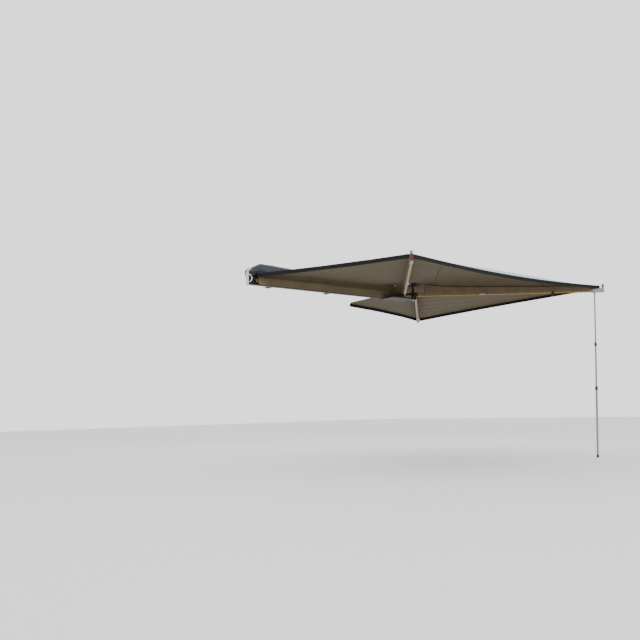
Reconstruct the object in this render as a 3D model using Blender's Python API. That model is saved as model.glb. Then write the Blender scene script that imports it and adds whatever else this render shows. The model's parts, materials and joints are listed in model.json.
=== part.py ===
"""Side awning for a roof rack: a rail, four arms fanned round one king pin, a canopy and a pole.

Frame: the origin is under the foot of the middle rack bracket, +X runs along the rail towards
the hinge end, +Y points inboard over the rack, +Z is up. The arms are shown opened out. Every
arm turns about the upright king pin, and the pole hangs from the tip of the third arm.
"""
import math

import bmesh
import bpy
from mathutils import Matrix, Vector

# Clearances between neighbours
GAP = 0.0003
SLIDE_GAP = 0.0004

# Arms: box section tube, reach from the king pin to the peg at the tip
ARM_REACH = 2.400
ARM_WIDTH = 0.028
ARM_HEIGHT = 0.044
ARM_WALL = 0.002
ARM_CORNER = 0.004
ARM_BOTTOM = 0.026
ARM_START = 0.050
ARM_END_MARGIN = 0.030

# Each arm: bearing from +X (degrees), side offset from the pin, eye level on the pin,
# drop of the tip, and height of the canopy over the level arm's own datum at the tip
ARM_TABLE = {
    2: {"bearing": 225.5, "offset": 0.114, "level": 2, "drop": 0.0, "canopy": 0.1095},
    3: {"bearing": 319.4, "offset": 0.066, "level": 1, "drop": 0.0, "canopy": 0.1040},
    4: {"bearing": 402.0, "offset": 0.030, "level": 0, "drop": 0.060, "canopy": 0.0810},
}
RAIL_BEARING = 180.0

# King pin, knuckle eyes, bushes and washers
PIN_RADIUS = 0.008
BUSH_WALL = 0.003
EYE_RADIUS = 0.022
EYE_HEIGHT = 0.022
WASHER_HEIGHT = 0.002
WASHER_RADIUS = 0.018
WEB_HALF = 0.016
UPSTAND_START = 0.026
UPSTAND_EASE = 0.0015
PLUG_LENGTH = 0.060
NUT_FLAT_RADIUS = 0.0125
NUT_HEIGHT = 0.013
POST_RADIUS = 0.015
CROWN_RADIUS = 0.035
CROWN_BOTTOM = 0.150
CROWN_HEIGHT = 0.070
CROWN_SHOULDER = 0.035
CROWN_BLIND = 0.030
CROWN_EASE = 0.004
CROWN_STEPS = 6
CROWN_HOLLOWS = 8
CROWN_HOLLOW_RADIUS = 0.007
CROWN_HOLLOW_DEPTH = 0.003
PIN_INTO_CROWN = 0.026

# Bolt that holds a knuckle in its tube
ROOT_BOLT_RADIUS = 0.003
ROOT_BOLT_HEAD_RADIUS = 0.0065
ROOT_BOLT_HEAD = 0.0022
ROOT_BOLT_PLACE = 0.082

# Rail
RAIL_LENGTH = 2.340
RAIL_END_TO_PIN = 0.100
RAIL_FACE = 0.172
RAIL_DEPTH = 0.028
RAIL_HEIGHT = 0.090
RAIL_WALL = 0.003
TRAY_REACH = 0.036
TRAY_THICKNESS = 0.004
SLOT_MOUTH = 0.0084
SLOT_WIDTH = 0.0150
SLOT_LIP = 0.0025
SLOT_DEPTH = 0.0080
SLOT_HEIGHTS = (0.026, 0.066)
KEDER_RADIUS = 0.0040
KEDER_MOUTH = 0.0036
RAIL_ARM_LENGTH = 2.245

# Rack brackets
BRACKET_WIDTH = 0.060
BRACKET_THICKNESS = 0.006
BRACKET_HEIGHT = 0.086
FOOT_LENGTH = 0.088
BRACKET_PLACES = {"front": -0.86, "middle": 0.0, "rear": 0.82}
BRACKET_SLOT_LENGTH = 0.024
BRACKET_SLOT_WIDTH = 0.0086
MIDDLE_TO_PIN = 1.250
TBOLT_RADIUS = 0.0038
TBOLT_HEAD = 0.0040
TBOLT_NUT_RADIUS = 0.0075
TBOLT_NUT_HEIGHT = 0.0065

# Hub bracket
PLATE = 0.006
NOSE_RADIUS = 0.036
BASE_LENGTH = 0.400
LIP_HEIGHT = 0.018
LIP_THICKNESS = 0.004
LIP_END = 0.080
HUB_BOLT_RADIUS = 0.003
HUB_BOLT_HEAD_RADIUS = 0.0055
HUB_BOLT_HEAD = 0.004
HUB_BOLT_REACH = 0.009

# Front end of the rail
END_PLATE = 0.004
END_PLATE_BELOW = 0.012
END_PLATE_TOP = 0.150
END_PLATE_WIDTH = 0.052
END_CHAMFER = 0.014
END_TAB_LENGTH = 0.042
END_TAB_RISE = 0.026
LOOP_HEIGHT = 0.090
LOOP_REACH = 0.046
LOOP_BAR = 0.005
LOOP_WIDTH = 0.014

# Arm tips
TIP_WALL = 0.0025
TIP_SLEEVE = 0.070
TIP_HEAD = 0.042
PRONG = 0.004
BRIDGE = 0.006
PEG_RADIUS = 0.004
KNOB_RADIUS = 0.0155
KNOB_HEIGHT = 0.030

# Hanging bar on the third arm
BAR_CENTRE = 0.865
BAR_LENGTH = 0.112
BAR_RADIUS = 0.0045
BAR_STANDOFF = 0.013
BAR_HEIGHT = 0.033
BAR_POST_RADIUS = 0.0062

# Pole clip under the third arm
CLIP_PLACE = 1.760
CLIP_LENGTH = 0.032
CLIP_WALL = 0.0028
CLIP_MOUTH = 0.0095
CLIP_EAR = 0.002
CLIP_EAR_HEIGHT = 0.026

# Pole
POLE_PLACE = 2.290
POLE_HINGE_HEIGHT = 0.008
POLE_LEAN = 1.2
UPPER_RADIUS = 0.0085
MID_RADIUS = 0.0105
LOWER_RADIUS = 0.0125
POLE_WALL = 0.0012
UPPER_SHOWN = 0.625
MID_SHOWN = 0.555
LOWER_SHOWN = 0.865
TUBE_OVERLAP = 0.120
TONGUE_RADIUS = 0.0105
TONGUE_THICKNESS = 0.010
EAR_THICKNESS = 0.004
HINGE_PIN_RADIUS = 0.003
NECK = 0.030
NECK_HALF = 0.0068
NECK_COLLAR = 0.0135
EYE_PLUG = 0.035
COLLAR_WALL = 0.0034
COLLAR_EASE = 0.0012
COLLAR_HEIGHT = 0.048
COLLAR_LIP = 0.006
COLLAR_RIB = 0.0012
COLLAR_RIBS = 10
FOOT_RADIUS = 0.0158
FOOT_HEIGHT = 0.034

# Tension strap on the second tip: half width and half height of its loop
STRAP_LOOP = (0.025, 0.034)
STRAP_WIDTH = 0.018
STRAP_THICKNESS = 0.0022

# Canopy and its soft goods
CLOTH = 0.0012
CANOPY_ROOT = 0.145
CANOPY_PEAK = 0.225
PEAK_WIDTH = 0.16
PEAK_ROUND = 0.04
RAIL_CANOPY = 0.1247
CANOPY_REACH = 2.385
RAIL_CANOPY_REACH = 2.350
TIE_REACH = 1.250
TIE_CANOPY = 0.100
SEAM_HALF = 0.0012
HUB_HOLE = 0.014
ROW_CROWDING = 1.5
HEM_HEIGHT = 0.042
HEM_ROWS = 1
CORNER_CLEAR = 0.026
NOTCH_LENGTH = 0.130
CORNER_PATCH_LENGTH = 0.075
CORNER_PATCH_HALF = 0.013
PANEL_ACROSS = 14
PANEL_OUT = 14
SLEEVE_START = 0.36
SLEEVE_END = 2.24
SLEEVE_BOTTOM = 0.055
WALL_OFFSET = 0.034
WALL_RIPPLE = 0.0016
COVER_START = -2.43
COVER_END = -0.16

# Worked out from the sizes above
ARM_TOP = ARM_BOTTOM + ARM_HEIGHT
ARM_MIDDLE = ARM_BOTTOM + ARM_HEIGHT / 2
RAIL_BACK = RAIL_FACE + RAIL_DEPTH
RAIL_ARM_OFFSET = RAIL_FACE - ARM_WIDTH / 2 - GAP
PIN_Y = -(RAIL_BACK + FOOT_LENGTH / 2)
PIN_PLACE = Vector((MIDDLE_TO_PIN, PIN_Y, 0.0))
RAIL_HINGE_END = -RAIL_END_TO_PIN
RAIL_FRONT_END = RAIL_HINGE_END - RAIL_LENGTH
BORE_RADIUS = PIN_RADIUS + GAP
EYE_BORE = BORE_RADIUS + BUSH_WALL + GAP
LEVEL_PITCH = EYE_HEIGHT + WASHER_HEIGHT + 2 * GAP
STACK_TOP = 3 * LEVEL_PITCH + WASHER_HEIGHT + GAP
UPPER_PLATE_BOTTOM = STACK_TOP + GAP
UPPER_PLATE_TOP = UPPER_PLATE_BOTTOM + PLATE
BASE_TOP = -GAP
BASE_BOTTOM = BASE_TOP - PLATE
CROWN_TOP = CROWN_BOTTOM + CROWN_HEIGHT

# Facets of a full turn, the distance that welds two points, and what counts as on the axis
ROUND = 24
SMALL_ROUND = 12
WELD = 1e-6
ON_AXIS = 1e-9


def clear_scene():
    for old in list(bpy.data.objects):
        bpy.data.objects.remove(old, do_unlink=True)


def make_material(name, colour, roughness, metallic=0.0):
    material = bpy.data.materials.new(name)
    material.use_nodes = True
    shader = material.node_tree.nodes["Principled BSDF"]
    shader.inputs["Base Color"].default_value = (*colour, 1.0)
    shader.inputs["Roughness"].default_value = roughness
    shader.inputs["Metallic"].default_value = metallic
    return material


def make_empty(name, location, turn=0.0, parent=None):
    empty = bpy.data.objects.new(name, None)
    bpy.context.scene.collection.objects.link(empty)
    empty.parent = parent
    empty.location = location
    empty.rotation_euler = (0.0, 0.0, turn)
    return empty


def finish(name, bm, material, parent, smooth_angle=35.0):
    """Turn a bmesh into a named object under its parent."""
    bmesh.ops.recalc_face_normals(bm, faces=bm.faces)
    mesh = bpy.data.meshes.new(name)
    bm.to_mesh(mesh)
    bm.free()
    mesh.materials.append(material)
    mesh.shade_smooth()
    mesh.set_sharp_from_angle(angle=math.radians(smooth_angle))
    obj = bpy.data.objects.new(name, mesh)
    bpy.context.scene.collection.objects.link(obj)
    obj.parent = parent
    return obj


def box(low, high, bevel=0.0, segments=2):
    """A box between two corners, with its long edges eased if asked."""
    bm = bmesh.new()
    size = Vector(high) - Vector(low)
    middle = (Vector(high) + Vector(low)) / 2
    bmesh.ops.create_cube(bm, size=1.0, matrix=Matrix.Translation(middle) @ Matrix.Diagonal((*size, 1.0)))
    if bevel > 0:
        bmesh.ops.bevel(bm, geom=bm.edges[:], offset=bevel, segments=segments, affect="EDGES",
                        profile=0.5, material=-1, clamp_overlap=True)
    return bm


def bar_along_x(low, high, bevel, segments=2):
    """A box whose four edges along X are rounded."""
    bm = box(low, high)
    edges = [e for e in bm.edges if abs(e.verts[0].co.x - e.verts[1].co.x) > WELD]
    bmesh.ops.bevel(bm, geom=edges, offset=bevel, segments=segments, affect="EDGES",
                    profile=0.5, material=-1)
    return bm


def turned(profile, steps=ROUND):
    """Spin a loop of (radius, height) points round the Z axis into a closed body."""
    bm = bmesh.new()
    points = [bm.verts.new((radius, 0.0, height)) for radius, height in profile]
    edges = []
    for k, point in enumerate(points):
        other = points[(k + 1) % len(points)]
        if max(point.co.x, other.co.x) > ON_AXIS:
            edges.append(bm.edges.new((point, other)))
    bmesh.ops.spin(bm, geom=points + edges, cent=(0, 0, 0), axis=(0, 0, 1), dvec=(0, 0, 0),
                   angle=2 * math.pi, steps=steps, use_merge=True, use_duplicate=False)
    bmesh.ops.remove_doubles(bm, verts=bm.verts, dist=WELD)
    return bm


def disc(radius, bottom, top, steps=ROUND):
    return turned([(0.0, bottom), (radius, bottom), (radius, top), (0.0, top)], steps)


def ring(outer, inner, bottom, top, steps=ROUND):
    return turned([(inner, bottom), (outer, bottom), (outer, top), (inner, top)], steps)


def extrude(outline, depth):
    """Extrude a flat outline (list of 3D points) by a vector."""
    bm = bmesh.new()
    face = bm.faces.new([bm.verts.new(p) for p in outline])
    grown = bmesh.ops.extrude_face_region(bm, geom=[face])
    verts = [g for g in grown["geom"] if isinstance(g, bmesh.types.BMVert)]
    bmesh.ops.translate(bm, verts=verts, vec=Vector(depth))
    return bm


def arc(centre, radius, start, end, steps):
    """Points on an arc, angles in degrees."""
    points = []
    for k in range(steps + 1):
        angle = math.radians(start + (end - start) * k / steps)
        points.append((centre[0] + radius * math.cos(angle), centre[1] + radius * math.sin(angle)))
    return points


def moved(bm, matrix):
    bmesh.ops.transform(bm, matrix=matrix, verts=bm.verts)
    return bm


def boolean(base, tool, operation):
    """Fuse or cut two closed bodies and return the result as a new bmesh."""
    objects = []
    for bm in (base, tool):
        bmesh.ops.recalc_face_normals(bm, faces=bm.faces)
        mesh = bpy.data.meshes.new("operand")
        bm.to_mesh(mesh)
        bm.free()
        obj = bpy.data.objects.new("operand", mesh)
        bpy.context.scene.collection.objects.link(obj)
        objects.append(obj)
    modifier = objects[0].modifiers.new("boolean", "BOOLEAN")
    modifier.operation = operation
    modifier.solver = "EXACT"
    modifier.object = objects[1]
    bpy.context.view_layer.update()
    evaluated = objects[0].evaluated_get(bpy.context.evaluated_depsgraph_get())
    result = bmesh.new()
    result.from_mesh(evaluated.to_mesh())
    evaluated.to_mesh_clear()
    for obj in objects:
        mesh = obj.data
        bpy.data.objects.remove(obj, do_unlink=True)
        bpy.data.meshes.remove(mesh)
    bmesh.ops.remove_doubles(result, verts=result.verts, dist=WELD)
    bmesh.ops.dissolve_degenerate(result, edges=result.edges, dist=WELD)
    return result


def fuse(base, *tools):
    for tool in tools:
        base = boolean(base, tool, "UNION")
    return base


def cut(base, *tools):
    for tool in tools:
        base = boolean(base, tool, "DIFFERENCE")
    return base


def loft(sections, closed=True):
    """Bridge equal rings of points into a tube, with flat ends if closed."""
    bm = bmesh.new()
    rings = [[bm.verts.new(p) for p in section] for section in sections]
    count = len(rings[0])
    for first, second in zip(rings, rings[1:]):
        for k in range(count):
            n = (k + 1) % count
            bm.faces.new((first[k], first[n], second[n], second[k]))
    if closed:
        bm.faces.new(rings[0])
        bm.faces.new(list(reversed(rings[-1])))
    return bm


def sheet(name, surface, across, along, thickness, material, parent):
    """A cloth of one thickness over the surface (u, v) with u and v from 0 to 1."""
    bm = bmesh.new()
    bmesh.ops.create_grid(bm, x_segments=across, y_segments=along, size=0.5)
    for vert in bm.verts:
        vert.co = surface(vert.co.x + 0.5, vert.co.y + 0.5)
    bmesh.ops.recalc_face_normals(bm, faces=bm.faces)
    obj = finish(name, bm, material, parent, 60.0)
    solid = obj.modifiers.new("thickness", "SOLIDIFY")
    solid.thickness = thickness
    solid.offset = 0.0
    solid.use_even_offset = True
    return obj


def turn_x(angle):
    return Matrix.Rotation(math.radians(angle), 4, "X")


def turn_y(angle):
    return Matrix.Rotation(math.radians(angle), 4, "Y")


def smoothstep(value):
    value = min(max(value, 0.0), 1.0)
    return value * value * (3 - 2 * value)


class Finishes:
    """The materials, made once."""

    def __init__(self):
        self.black = make_material("black_powder_coat", (0.012, 0.012, 0.014), 0.55, 0.4)
        self.arm = make_material("champagne_anodised", (0.56, 0.47, 0.36), 0.38, 0.9)
        self.bright = make_material("bright_aluminium", (0.72, 0.73, 0.75), 0.30, 1.0)
        self.pole = make_material("grey_anodised", (0.38, 0.39, 0.41), 0.36, 0.9)
        self.steel = make_material("zinc_steel", (0.60, 0.60, 0.62), 0.32, 1.0)
        self.nylon = make_material("white_nylon", (0.80, 0.80, 0.78), 0.45)
        self.plastic = make_material("black_plastic", (0.015, 0.015, 0.016), 0.42)
        self.rubber = make_material("black_rubber", (0.02, 0.02, 0.02), 0.75)
        self.canvas = make_material("khaki_canvas", (0.22, 0.18, 0.13), 0.88)
        self.hem = make_material("black_webbing", (0.010, 0.010, 0.011), 0.80)
        self.sleeve = make_material("brown_webbing", (0.12, 0.10, 0.08), 0.85)
        self.cover = make_material("navy_coated_cloth", (0.02, 0.03, 0.05), 0.30)
        self.strap = make_material("orange_webbing", (0.55, 0.10, 0.04), 0.75)


# Frames of the moving bodies


def arm_frame(number, hub):
    """Empty on the king pin's axis, its X along the arm."""
    turn = math.radians(ARM_TABLE[number]["bearing"])
    return make_empty("arm_%d_pivot" % number, (0, 0, 0), turn, hub)


def beam_matrix(number):
    """Tilt of a drooping arm about its root, in the arm's frame."""
    drop = ARM_TABLE[number]["drop"]
    root = Vector((ARM_START, -ARM_TABLE[number]["offset"], ARM_MIDDLE))
    tilt = Matrix.Rotation(math.asin(drop / ARM_REACH), 4, "Y")
    return Matrix.Translation(root) @ tilt @ Matrix.Translation(-root)


# Rail and its brackets, in the hub's frame: X along the rail, Y inboard, Z up


def rail_outline():
    """Cross section as (y, z): a web with two T slots in its back and a tray along its foot."""
    half_mouth = SLOT_MOUTH / 2
    half_slot = SLOT_WIDTH / 2
    points = [(RAIL_FACE - TRAY_REACH, 0.0), (RAIL_BACK, 0.0)]
    for height in SLOT_HEIGHTS:
        lip = RAIL_BACK - SLOT_LIP
        floor = RAIL_BACK - SLOT_DEPTH
        points += [(RAIL_BACK, height - half_mouth), (lip, height - half_mouth),
                   (lip, height - half_slot), (floor, height - half_slot),
                   (floor, height + half_slot), (lip, height + half_slot),
                   (lip, height + half_mouth), (RAIL_BACK, height + half_mouth)]
    points.append((RAIL_BACK, RAIL_HEIGHT))
    groove = (RAIL_FACE + RAIL_DEPTH / 2, RAIL_HEIGHT - KEDER_RADIUS - RAIL_WALL / 2)
    opening = math.degrees(math.asin(KEDER_MOUTH / 2 / KEDER_RADIUS))
    mouth = KEDER_MOUTH / 2
    points.append((groove[0] + mouth, RAIL_HEIGHT))
    points += arc(groove, KEDER_RADIUS, 90 - opening, -270 + opening, 10)
    points.append((groove[0] - mouth, RAIL_HEIGHT))
    points += [(RAIL_FACE, RAIL_HEIGHT), (RAIL_FACE, TRAY_THICKNESS),
               (RAIL_FACE - TRAY_REACH, TRAY_THICKNESS)]
    return points


def make_rail(finishes, hub):
    outline = [(RAIL_FRONT_END, y, z) for y, z in rail_outline()]
    body = extrude(outline, (RAIL_LENGTH, 0, 0))
    chamber_low = (RAIL_FRONT_END - 0.01, RAIL_FACE + RAIL_WALL, 2 * RAIL_WALL)
    chamber_high = (RAIL_HINGE_END + 0.01, RAIL_BACK - SLOT_DEPTH - RAIL_WALL,
                    RAIL_HEIGHT - 2 * KEDER_RADIUS - 2 * RAIL_WALL)
    body = cut(body, box(chamber_low, chamber_high))
    for place in hub_bolt_places():
        hole = disc(HUB_BOLT_RADIUS + GAP, -RAIL_WALL, 3 * RAIL_WALL, SMALL_ROUND)
        hole = moved(hole, Matrix.Translation(place))
        body = cut(body, hole)
    finish("backing_rail", body, finishes.black, hub)

    low = (RAIL_HINGE_END - RAIL_ARM_LENGTH, RAIL_ARM_OFFSET - ARM_WIDTH / 2, ARM_BOTTOM)
    high = (RAIL_HINGE_END - 0.02, RAIL_ARM_OFFSET + ARM_WIDTH / 2, ARM_TOP)
    finish("rail_arm", hollow_bar(low, high), finishes.arm, hub)


def hollow_bar(low, high):
    """A rounded box tube along X, open at both ends."""
    outer = bar_along_x(low, high, ARM_CORNER)
    wall = Vector((0, ARM_WALL, ARM_WALL))
    past = Vector((0.01, 0, 0))
    inner = bar_along_x(Vector(low) + wall - past, Vector(high) - wall + past, ARM_CORNER - ARM_WALL / 2)
    return cut(outer, inner)


def hub_bolt_places():
    """Bolts up through the base plate into the rail's chamber."""
    y = (RAIL_FACE + RAIL_WALL + RAIL_BACK - SLOT_DEPTH - RAIL_WALL) / 2
    return [Vector((x, y, 0.0)) for x in (RAIL_HINGE_END - 0.05, RAIL_HINGE_END - 0.15,
                                          RAIL_HINGE_END - 0.25)]


def make_rack_brackets(finishes, hub):
    """L brackets: one leg on the rail's back, one foot that lies on the rack."""
    back = RAIL_BACK + GAP
    for name, place in BRACKET_PLACES.items():
        x = place - MIDDLE_TO_PIN
        fillet = BRACKET_THICKNESS
        far = RAIL_BACK + FOOT_LENGTH
        outline = [(back, 0.0), (far, 0.0), (far, BRACKET_THICKNESS)]
        inner = (back + BRACKET_THICKNESS + fillet, BRACKET_THICKNESS + fillet)
        outline += arc(inner, fillet, 270, 180, 4)
        outline += [(back + BRACKET_THICKNESS, BRACKET_HEIGHT), (back, BRACKET_HEIGHT)]
        body = extrude([(x - BRACKET_WIDTH / 2, y, z) for y, z in outline], (BRACKET_WIDTH, 0, 0))
        edges = [e for e in body.edges if abs(e.verts[0].co.z - BRACKET_HEIGHT) < WELD
                 and abs(e.verts[1].co.z - BRACKET_HEIGHT) < WELD
                 and abs(e.verts[0].co.x - e.verts[1].co.x) < WELD]
        bmesh.ops.bevel(body, geom=edges, offset=0.008, segments=3, affect="EDGES", profile=0.5,
                        material=-1)
        for height in SLOT_HEIGHTS:
            body = fuse(body, t_bolt(x, height))
        for side in (-1, 1):
            slot = slot_cutter(x + side * BRACKET_WIDTH / 4, back + FOOT_LENGTH * 0.62)
            body = cut(body, slot)
        finish("rack_bracket_" + name, body, finishes.black, hub)


def slot_cutter(x, y):
    """Rounded slot through the foot, its length along Y."""
    half = (BRACKET_SLOT_LENGTH - BRACKET_SLOT_WIDTH) / 2
    radius = BRACKET_SLOT_WIDTH / 2
    outline = arc((x, y + half), radius, 0, 180, 6) + arc((x, y - half), radius, 180, 360, 6)
    return extrude([(px, py, -0.01) for px, py in outline], (0, 0, 0.03))


def t_bolt(x, height):
    """T head in the rail's slot, a shank through the bracket and a nut tight on its outer face."""
    head_face = RAIL_BACK - SLOT_LIP - GAP
    nut_face = RAIL_BACK + BRACKET_THICKNESS
    half = SLOT_WIDTH / 2 - GAP
    head = box((x - half, head_face - TBOLT_HEAD, height - half), (x + half, head_face, height + half))
    shank = moved(disc(TBOLT_RADIUS, head_face - TBOLT_HEAD / 2, nut_face + TBOLT_NUT_HEIGHT + 0.003,
                       SMALL_ROUND), Matrix.Translation((x, 0, height)) @ turn_x(-90))
    nut = moved(disc(TBOLT_NUT_RADIUS, nut_face, nut_face + TBOLT_NUT_HEIGHT, 6),
                Matrix.Translation((x, 0, height)) @ turn_x(-90))
    return fuse(head, shank, nut)


def nose_outline(near, far):
    """Plate outline: a round nose about the pin and straight sides running inboard."""
    points = arc((0, 0), NOSE_RADIUS, 180, 360, 12)
    return points + [(NOSE_RADIUS, far), (near, far)]


def make_hub_bracket(finishes, hub):
    """Welded bracket: base plate under the rail's end, back plate, top plate over the knuckles.

    Each welded piece is set in by GAP from its neighbour's faces, as a weld seat is.
    """
    base = [(-BASE_LENGTH, -NOSE_RADIUS), (0.0, -NOSE_RADIUS)]
    base += arc((0, 0), NOSE_RADIUS, 278, 360, 8)
    base += [(NOSE_RADIUS, RAIL_BACK), (-BASE_LENGTH, RAIL_BACK)]
    body = extrude([(x, y, BASE_BOTTOM) for x, y in base], (0, 0, PLATE))
    lip = box((-BASE_LENGTH + GAP, -NOSE_RADIUS + GAP, BASE_BOTTOM + GAP),
              (-LIP_END, -NOSE_RADIUS + LIP_THICKNESS, BASE_BOTTOM + LIP_HEIGHT))
    top = extrude([(x, y, UPPER_PLATE_BOTTOM) for x, y in nose_outline(-NOSE_RADIUS, RAIL_BACK)],
                  (0, 0, PLATE))
    back_low = (RAIL_HINGE_END + GAP, RAIL_BACK - PLATE, BASE_BOTTOM + GAP)
    back = box(back_low, (NOSE_RADIUS - GAP, RAIL_BACK - GAP, UPPER_PLATE_TOP - GAP))
    gusset_near = RAIL_FACE - 0.020
    gusset = [(gusset_near, UPPER_PLATE_BOTTOM + PLATE / 2), (RAIL_BACK - PLATE / 2, BASE_TOP - PLATE / 2),
              (RAIL_BACK - PLATE / 2, UPPER_PLATE_BOTTOM + PLATE / 2)]
    web = extrude([(-PLATE / 2, y, z) for y, z in gusset], (PLATE, 0, 0))
    body = fuse(body, lip, back, top, web)
    body = cut(body, disc(BORE_RADIUS, BASE_BOTTOM - 0.01, UPPER_PLATE_TOP + 0.01))
    for place in hub_bolt_places():
        head = disc(HUB_BOLT_HEAD_RADIUS, BASE_BOTTOM - HUB_BOLT_HEAD, BASE_TOP - PLATE / 2, 6)
        shank = disc(HUB_BOLT_RADIUS, BASE_TOP - PLATE / 2, HUB_BOLT_REACH, SMALL_ROUND)
        body = fuse(body, moved(head, Matrix.Translation(place)), moved(shank, Matrix.Translation(place)))
    finish("hub_bracket", body, finishes.black, hub)


def make_king_pin(finishes, hub):
    bottom = BASE_BOTTOM - GAP
    shaft = disc(PIN_RADIUS, bottom - NUT_HEIGHT - 0.006, CROWN_BOTTOM + PIN_INTO_CROWN)
    finish("king_pin", shaft, finishes.steel, hub)
    nut = cut(disc(NUT_FLAT_RADIUS, bottom - NUT_HEIGHT, bottom, 6),
              disc(BORE_RADIUS, bottom - NUT_HEIGHT - 0.01, bottom + 0.01))
    finish("pin_nut", nut, finishes.steel, hub)
    for level in range(len(ARM_TABLE) + 1):
        low = level * LEVEL_PITCH
        washer = ring(WASHER_RADIUS, BORE_RADIUS, low, low + WASHER_HEIGHT)
        finish("thrust_washer_%d" % (level + 1), washer, finishes.nylon, hub)
    post_bottom = UPPER_PLATE_TOP + GAP
    finish("hub_post", ring(POST_RADIUS, BORE_RADIUS, post_bottom, CROWN_BOTTOM - GAP), finishes.black, hub)
    finish("hub_crown", crown_body(), finishes.plastic, hub)


def crown_body():
    """Turned cap that holds the middle of the canopy up, with finger hollows round its rim."""
    shoulder = CROWN_BOTTOM + CROWN_SHOULDER
    profile = [(BORE_RADIUS, CROWN_BOTTOM), (CROWN_RADIUS - CROWN_EASE, CROWN_BOTTOM),
               (CROWN_RADIUS, CROWN_BOTTOM + CROWN_EASE), (CROWN_RADIUS, shoulder)]
    for k in range(1, CROWN_STEPS):
        angle = math.pi / 2 * k / CROWN_STEPS
        profile.append((CROWN_RADIUS * math.cos(angle), shoulder + (CROWN_TOP - shoulder) * math.sin(angle)))
    profile += [(0.0, CROWN_TOP), (0.0, CROWN_BOTTOM + CROWN_BLIND), (BORE_RADIUS, CROWN_BOTTOM + CROWN_BLIND)]
    body = turned(profile)
    for k in range(CROWN_HOLLOWS):
        hollow = disc(CROWN_HOLLOW_RADIUS, CROWN_BOTTOM - GAP, shoulder + CROWN_EASE, SMALL_ROUND)
        place = Matrix.Translation((CROWN_RADIUS + CROWN_HOLLOW_RADIUS - CROWN_HOLLOW_DEPTH, 0, 0))
        turn = Matrix.Rotation(2 * math.pi * k / CROWN_HOLLOWS, 4, "Z")
        body = cut(body, moved(hollow, turn @ place))
    return body


def make_front_end(finishes, hub):
    """End plate, pull loop and the bar that holds the canopy's front corner."""
    plate_back = RAIL_BACK
    plate_front = plate_back - END_PLATE_WIDTH
    x = RAIL_FRONT_END - GAP
    chamfer = END_CHAMFER
    outline = [(plate_front, -END_PLATE_BELOW), (plate_back - chamfer, -END_PLATE_BELOW),
               (plate_back, -END_PLATE_BELOW + chamfer), (plate_back, END_PLATE_TOP - chamfer),
               (plate_back - chamfer, END_PLATE_TOP), (plate_front, END_PLATE_TOP)]
    body = extrude([(x - END_PLATE, y, z) for y, z in outline], (END_PLATE, 0, 0))
    half = END_PLATE / 2
    outside = x - END_PLATE + GAP
    tab = [(outside, END_PLATE_TOP - END_PLATE), (x - GAP, END_PLATE_TOP - END_PLATE),
           (x + END_TAB_LENGTH, END_PLATE_TOP + END_TAB_RISE - half),
           (x + END_TAB_LENGTH - half, END_PLATE_TOP + END_TAB_RISE + half),
           (outside, END_PLATE_TOP + half)]
    flange = extrude([(tx, plate_front + END_PLATE, tz) for tx, tz in tab],
                     (0, END_PLATE_WIDTH - chamfer - 2 * END_PLATE, 0))
    finish("end_plate", fuse(body, flange), finishes.bright, hub)

    middle = (END_PLATE_TOP - END_PLATE_BELOW) / 2
    y = plate_front + GAP
    outer = arc((x, middle), 1.0, 90, -90, 12)
    outline = [(x + (px - x) * LOOP_REACH, middle + (pz - middle) * LOOP_HEIGHT / 2) for px, pz in outer]
    inner = [(x + (px - x) * (LOOP_REACH - LOOP_BAR), middle + (pz - middle) * (LOOP_HEIGHT / 2 - LOOP_BAR))
             for px, pz in reversed(outer)]
    loop = extrude([(px, y, pz) for px, pz in outline + inner], (0, LOOP_WIDTH, 0))
    finish("pull_loop", loop, finishes.nylon, hub)


# Knuckles, arms and tips, in each arm's own frame: X along the arm, Y to its left


def knuckle_body(number):
    """Eye on the pin, a cranked web to the side, an upstand and the plug inside the tube."""
    arm = ARM_TABLE[number]
    offset = arm["offset"]
    bottom = WASHER_HEIGHT + GAP + arm["level"] * LEVEL_PITCH
    top = bottom + EYE_HEIGHT
    half = ARM_WIDTH / 2
    corner = 0.006
    left = -(offset - half)
    right = -(offset + half)
    seat = math.degrees(math.asin(WEB_HALF / EYE_RADIUS))
    outline = arc((0.0, 0.0), EYE_RADIUS, -90 + seat, 270 - seat, 20)
    outline.append((-WEB_HALF, right + GAP + corner))
    outline += arc((-WEB_HALF + corner, right + GAP + corner), corner, 180, 270, 3)[1:]
    outline += [(UPSTAND_START + corner, right + GAP), (UPSTAND_START + corner, left - GAP)]
    if offset - half > EYE_RADIUS + corner:
        outline += arc((WEB_HALF + corner, left - GAP + corner), corner, 270, 180, 3)
    body = extrude([(x, y, bottom) for x, y in outline], (0, 0, EYE_HEIGHT))
    low = min(bottom + GAP, ARM_BOTTOM)
    high = max(top - GAP, ARM_TOP)
    upstand_end = ARM_START - GAP - ARM_HEIGHT / 2 * arm["drop"] / ARM_REACH
    upstand = box((UPSTAND_START, right, low), (upstand_end, left, high), UPSTAND_EASE, 1)
    grip = Vector((0, ARM_WALL + GAP, ARM_WALL + GAP))
    plug_low = Vector((ARM_START - 0.004, right, ARM_BOTTOM)) + grip
    plug_high = Vector((ARM_START + PLUG_LENGTH, left, ARM_TOP)) - grip
    plug = moved(bar_along_x(plug_low, plug_high, ARM_CORNER - ARM_WALL / 2), beam_matrix(number))
    body = fuse(body, upstand, plug)
    body = cut(body, disc(EYE_BORE, bottom - 0.01, top + 0.01))
    return cut(body, moved(root_bolt_hole(number), beam_matrix(number)))


def root_bolt_hole(number):
    offset = ARM_TABLE[number]["offset"]
    hole = disc(ROOT_BOLT_RADIUS + GAP, -ARM_WIDTH, ARM_WIDTH, SMALL_ROUND)
    return moved(hole, Matrix.Translation((ROOT_BOLT_PLACE, -offset, ARM_MIDDLE)) @ turn_x(90))


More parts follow.
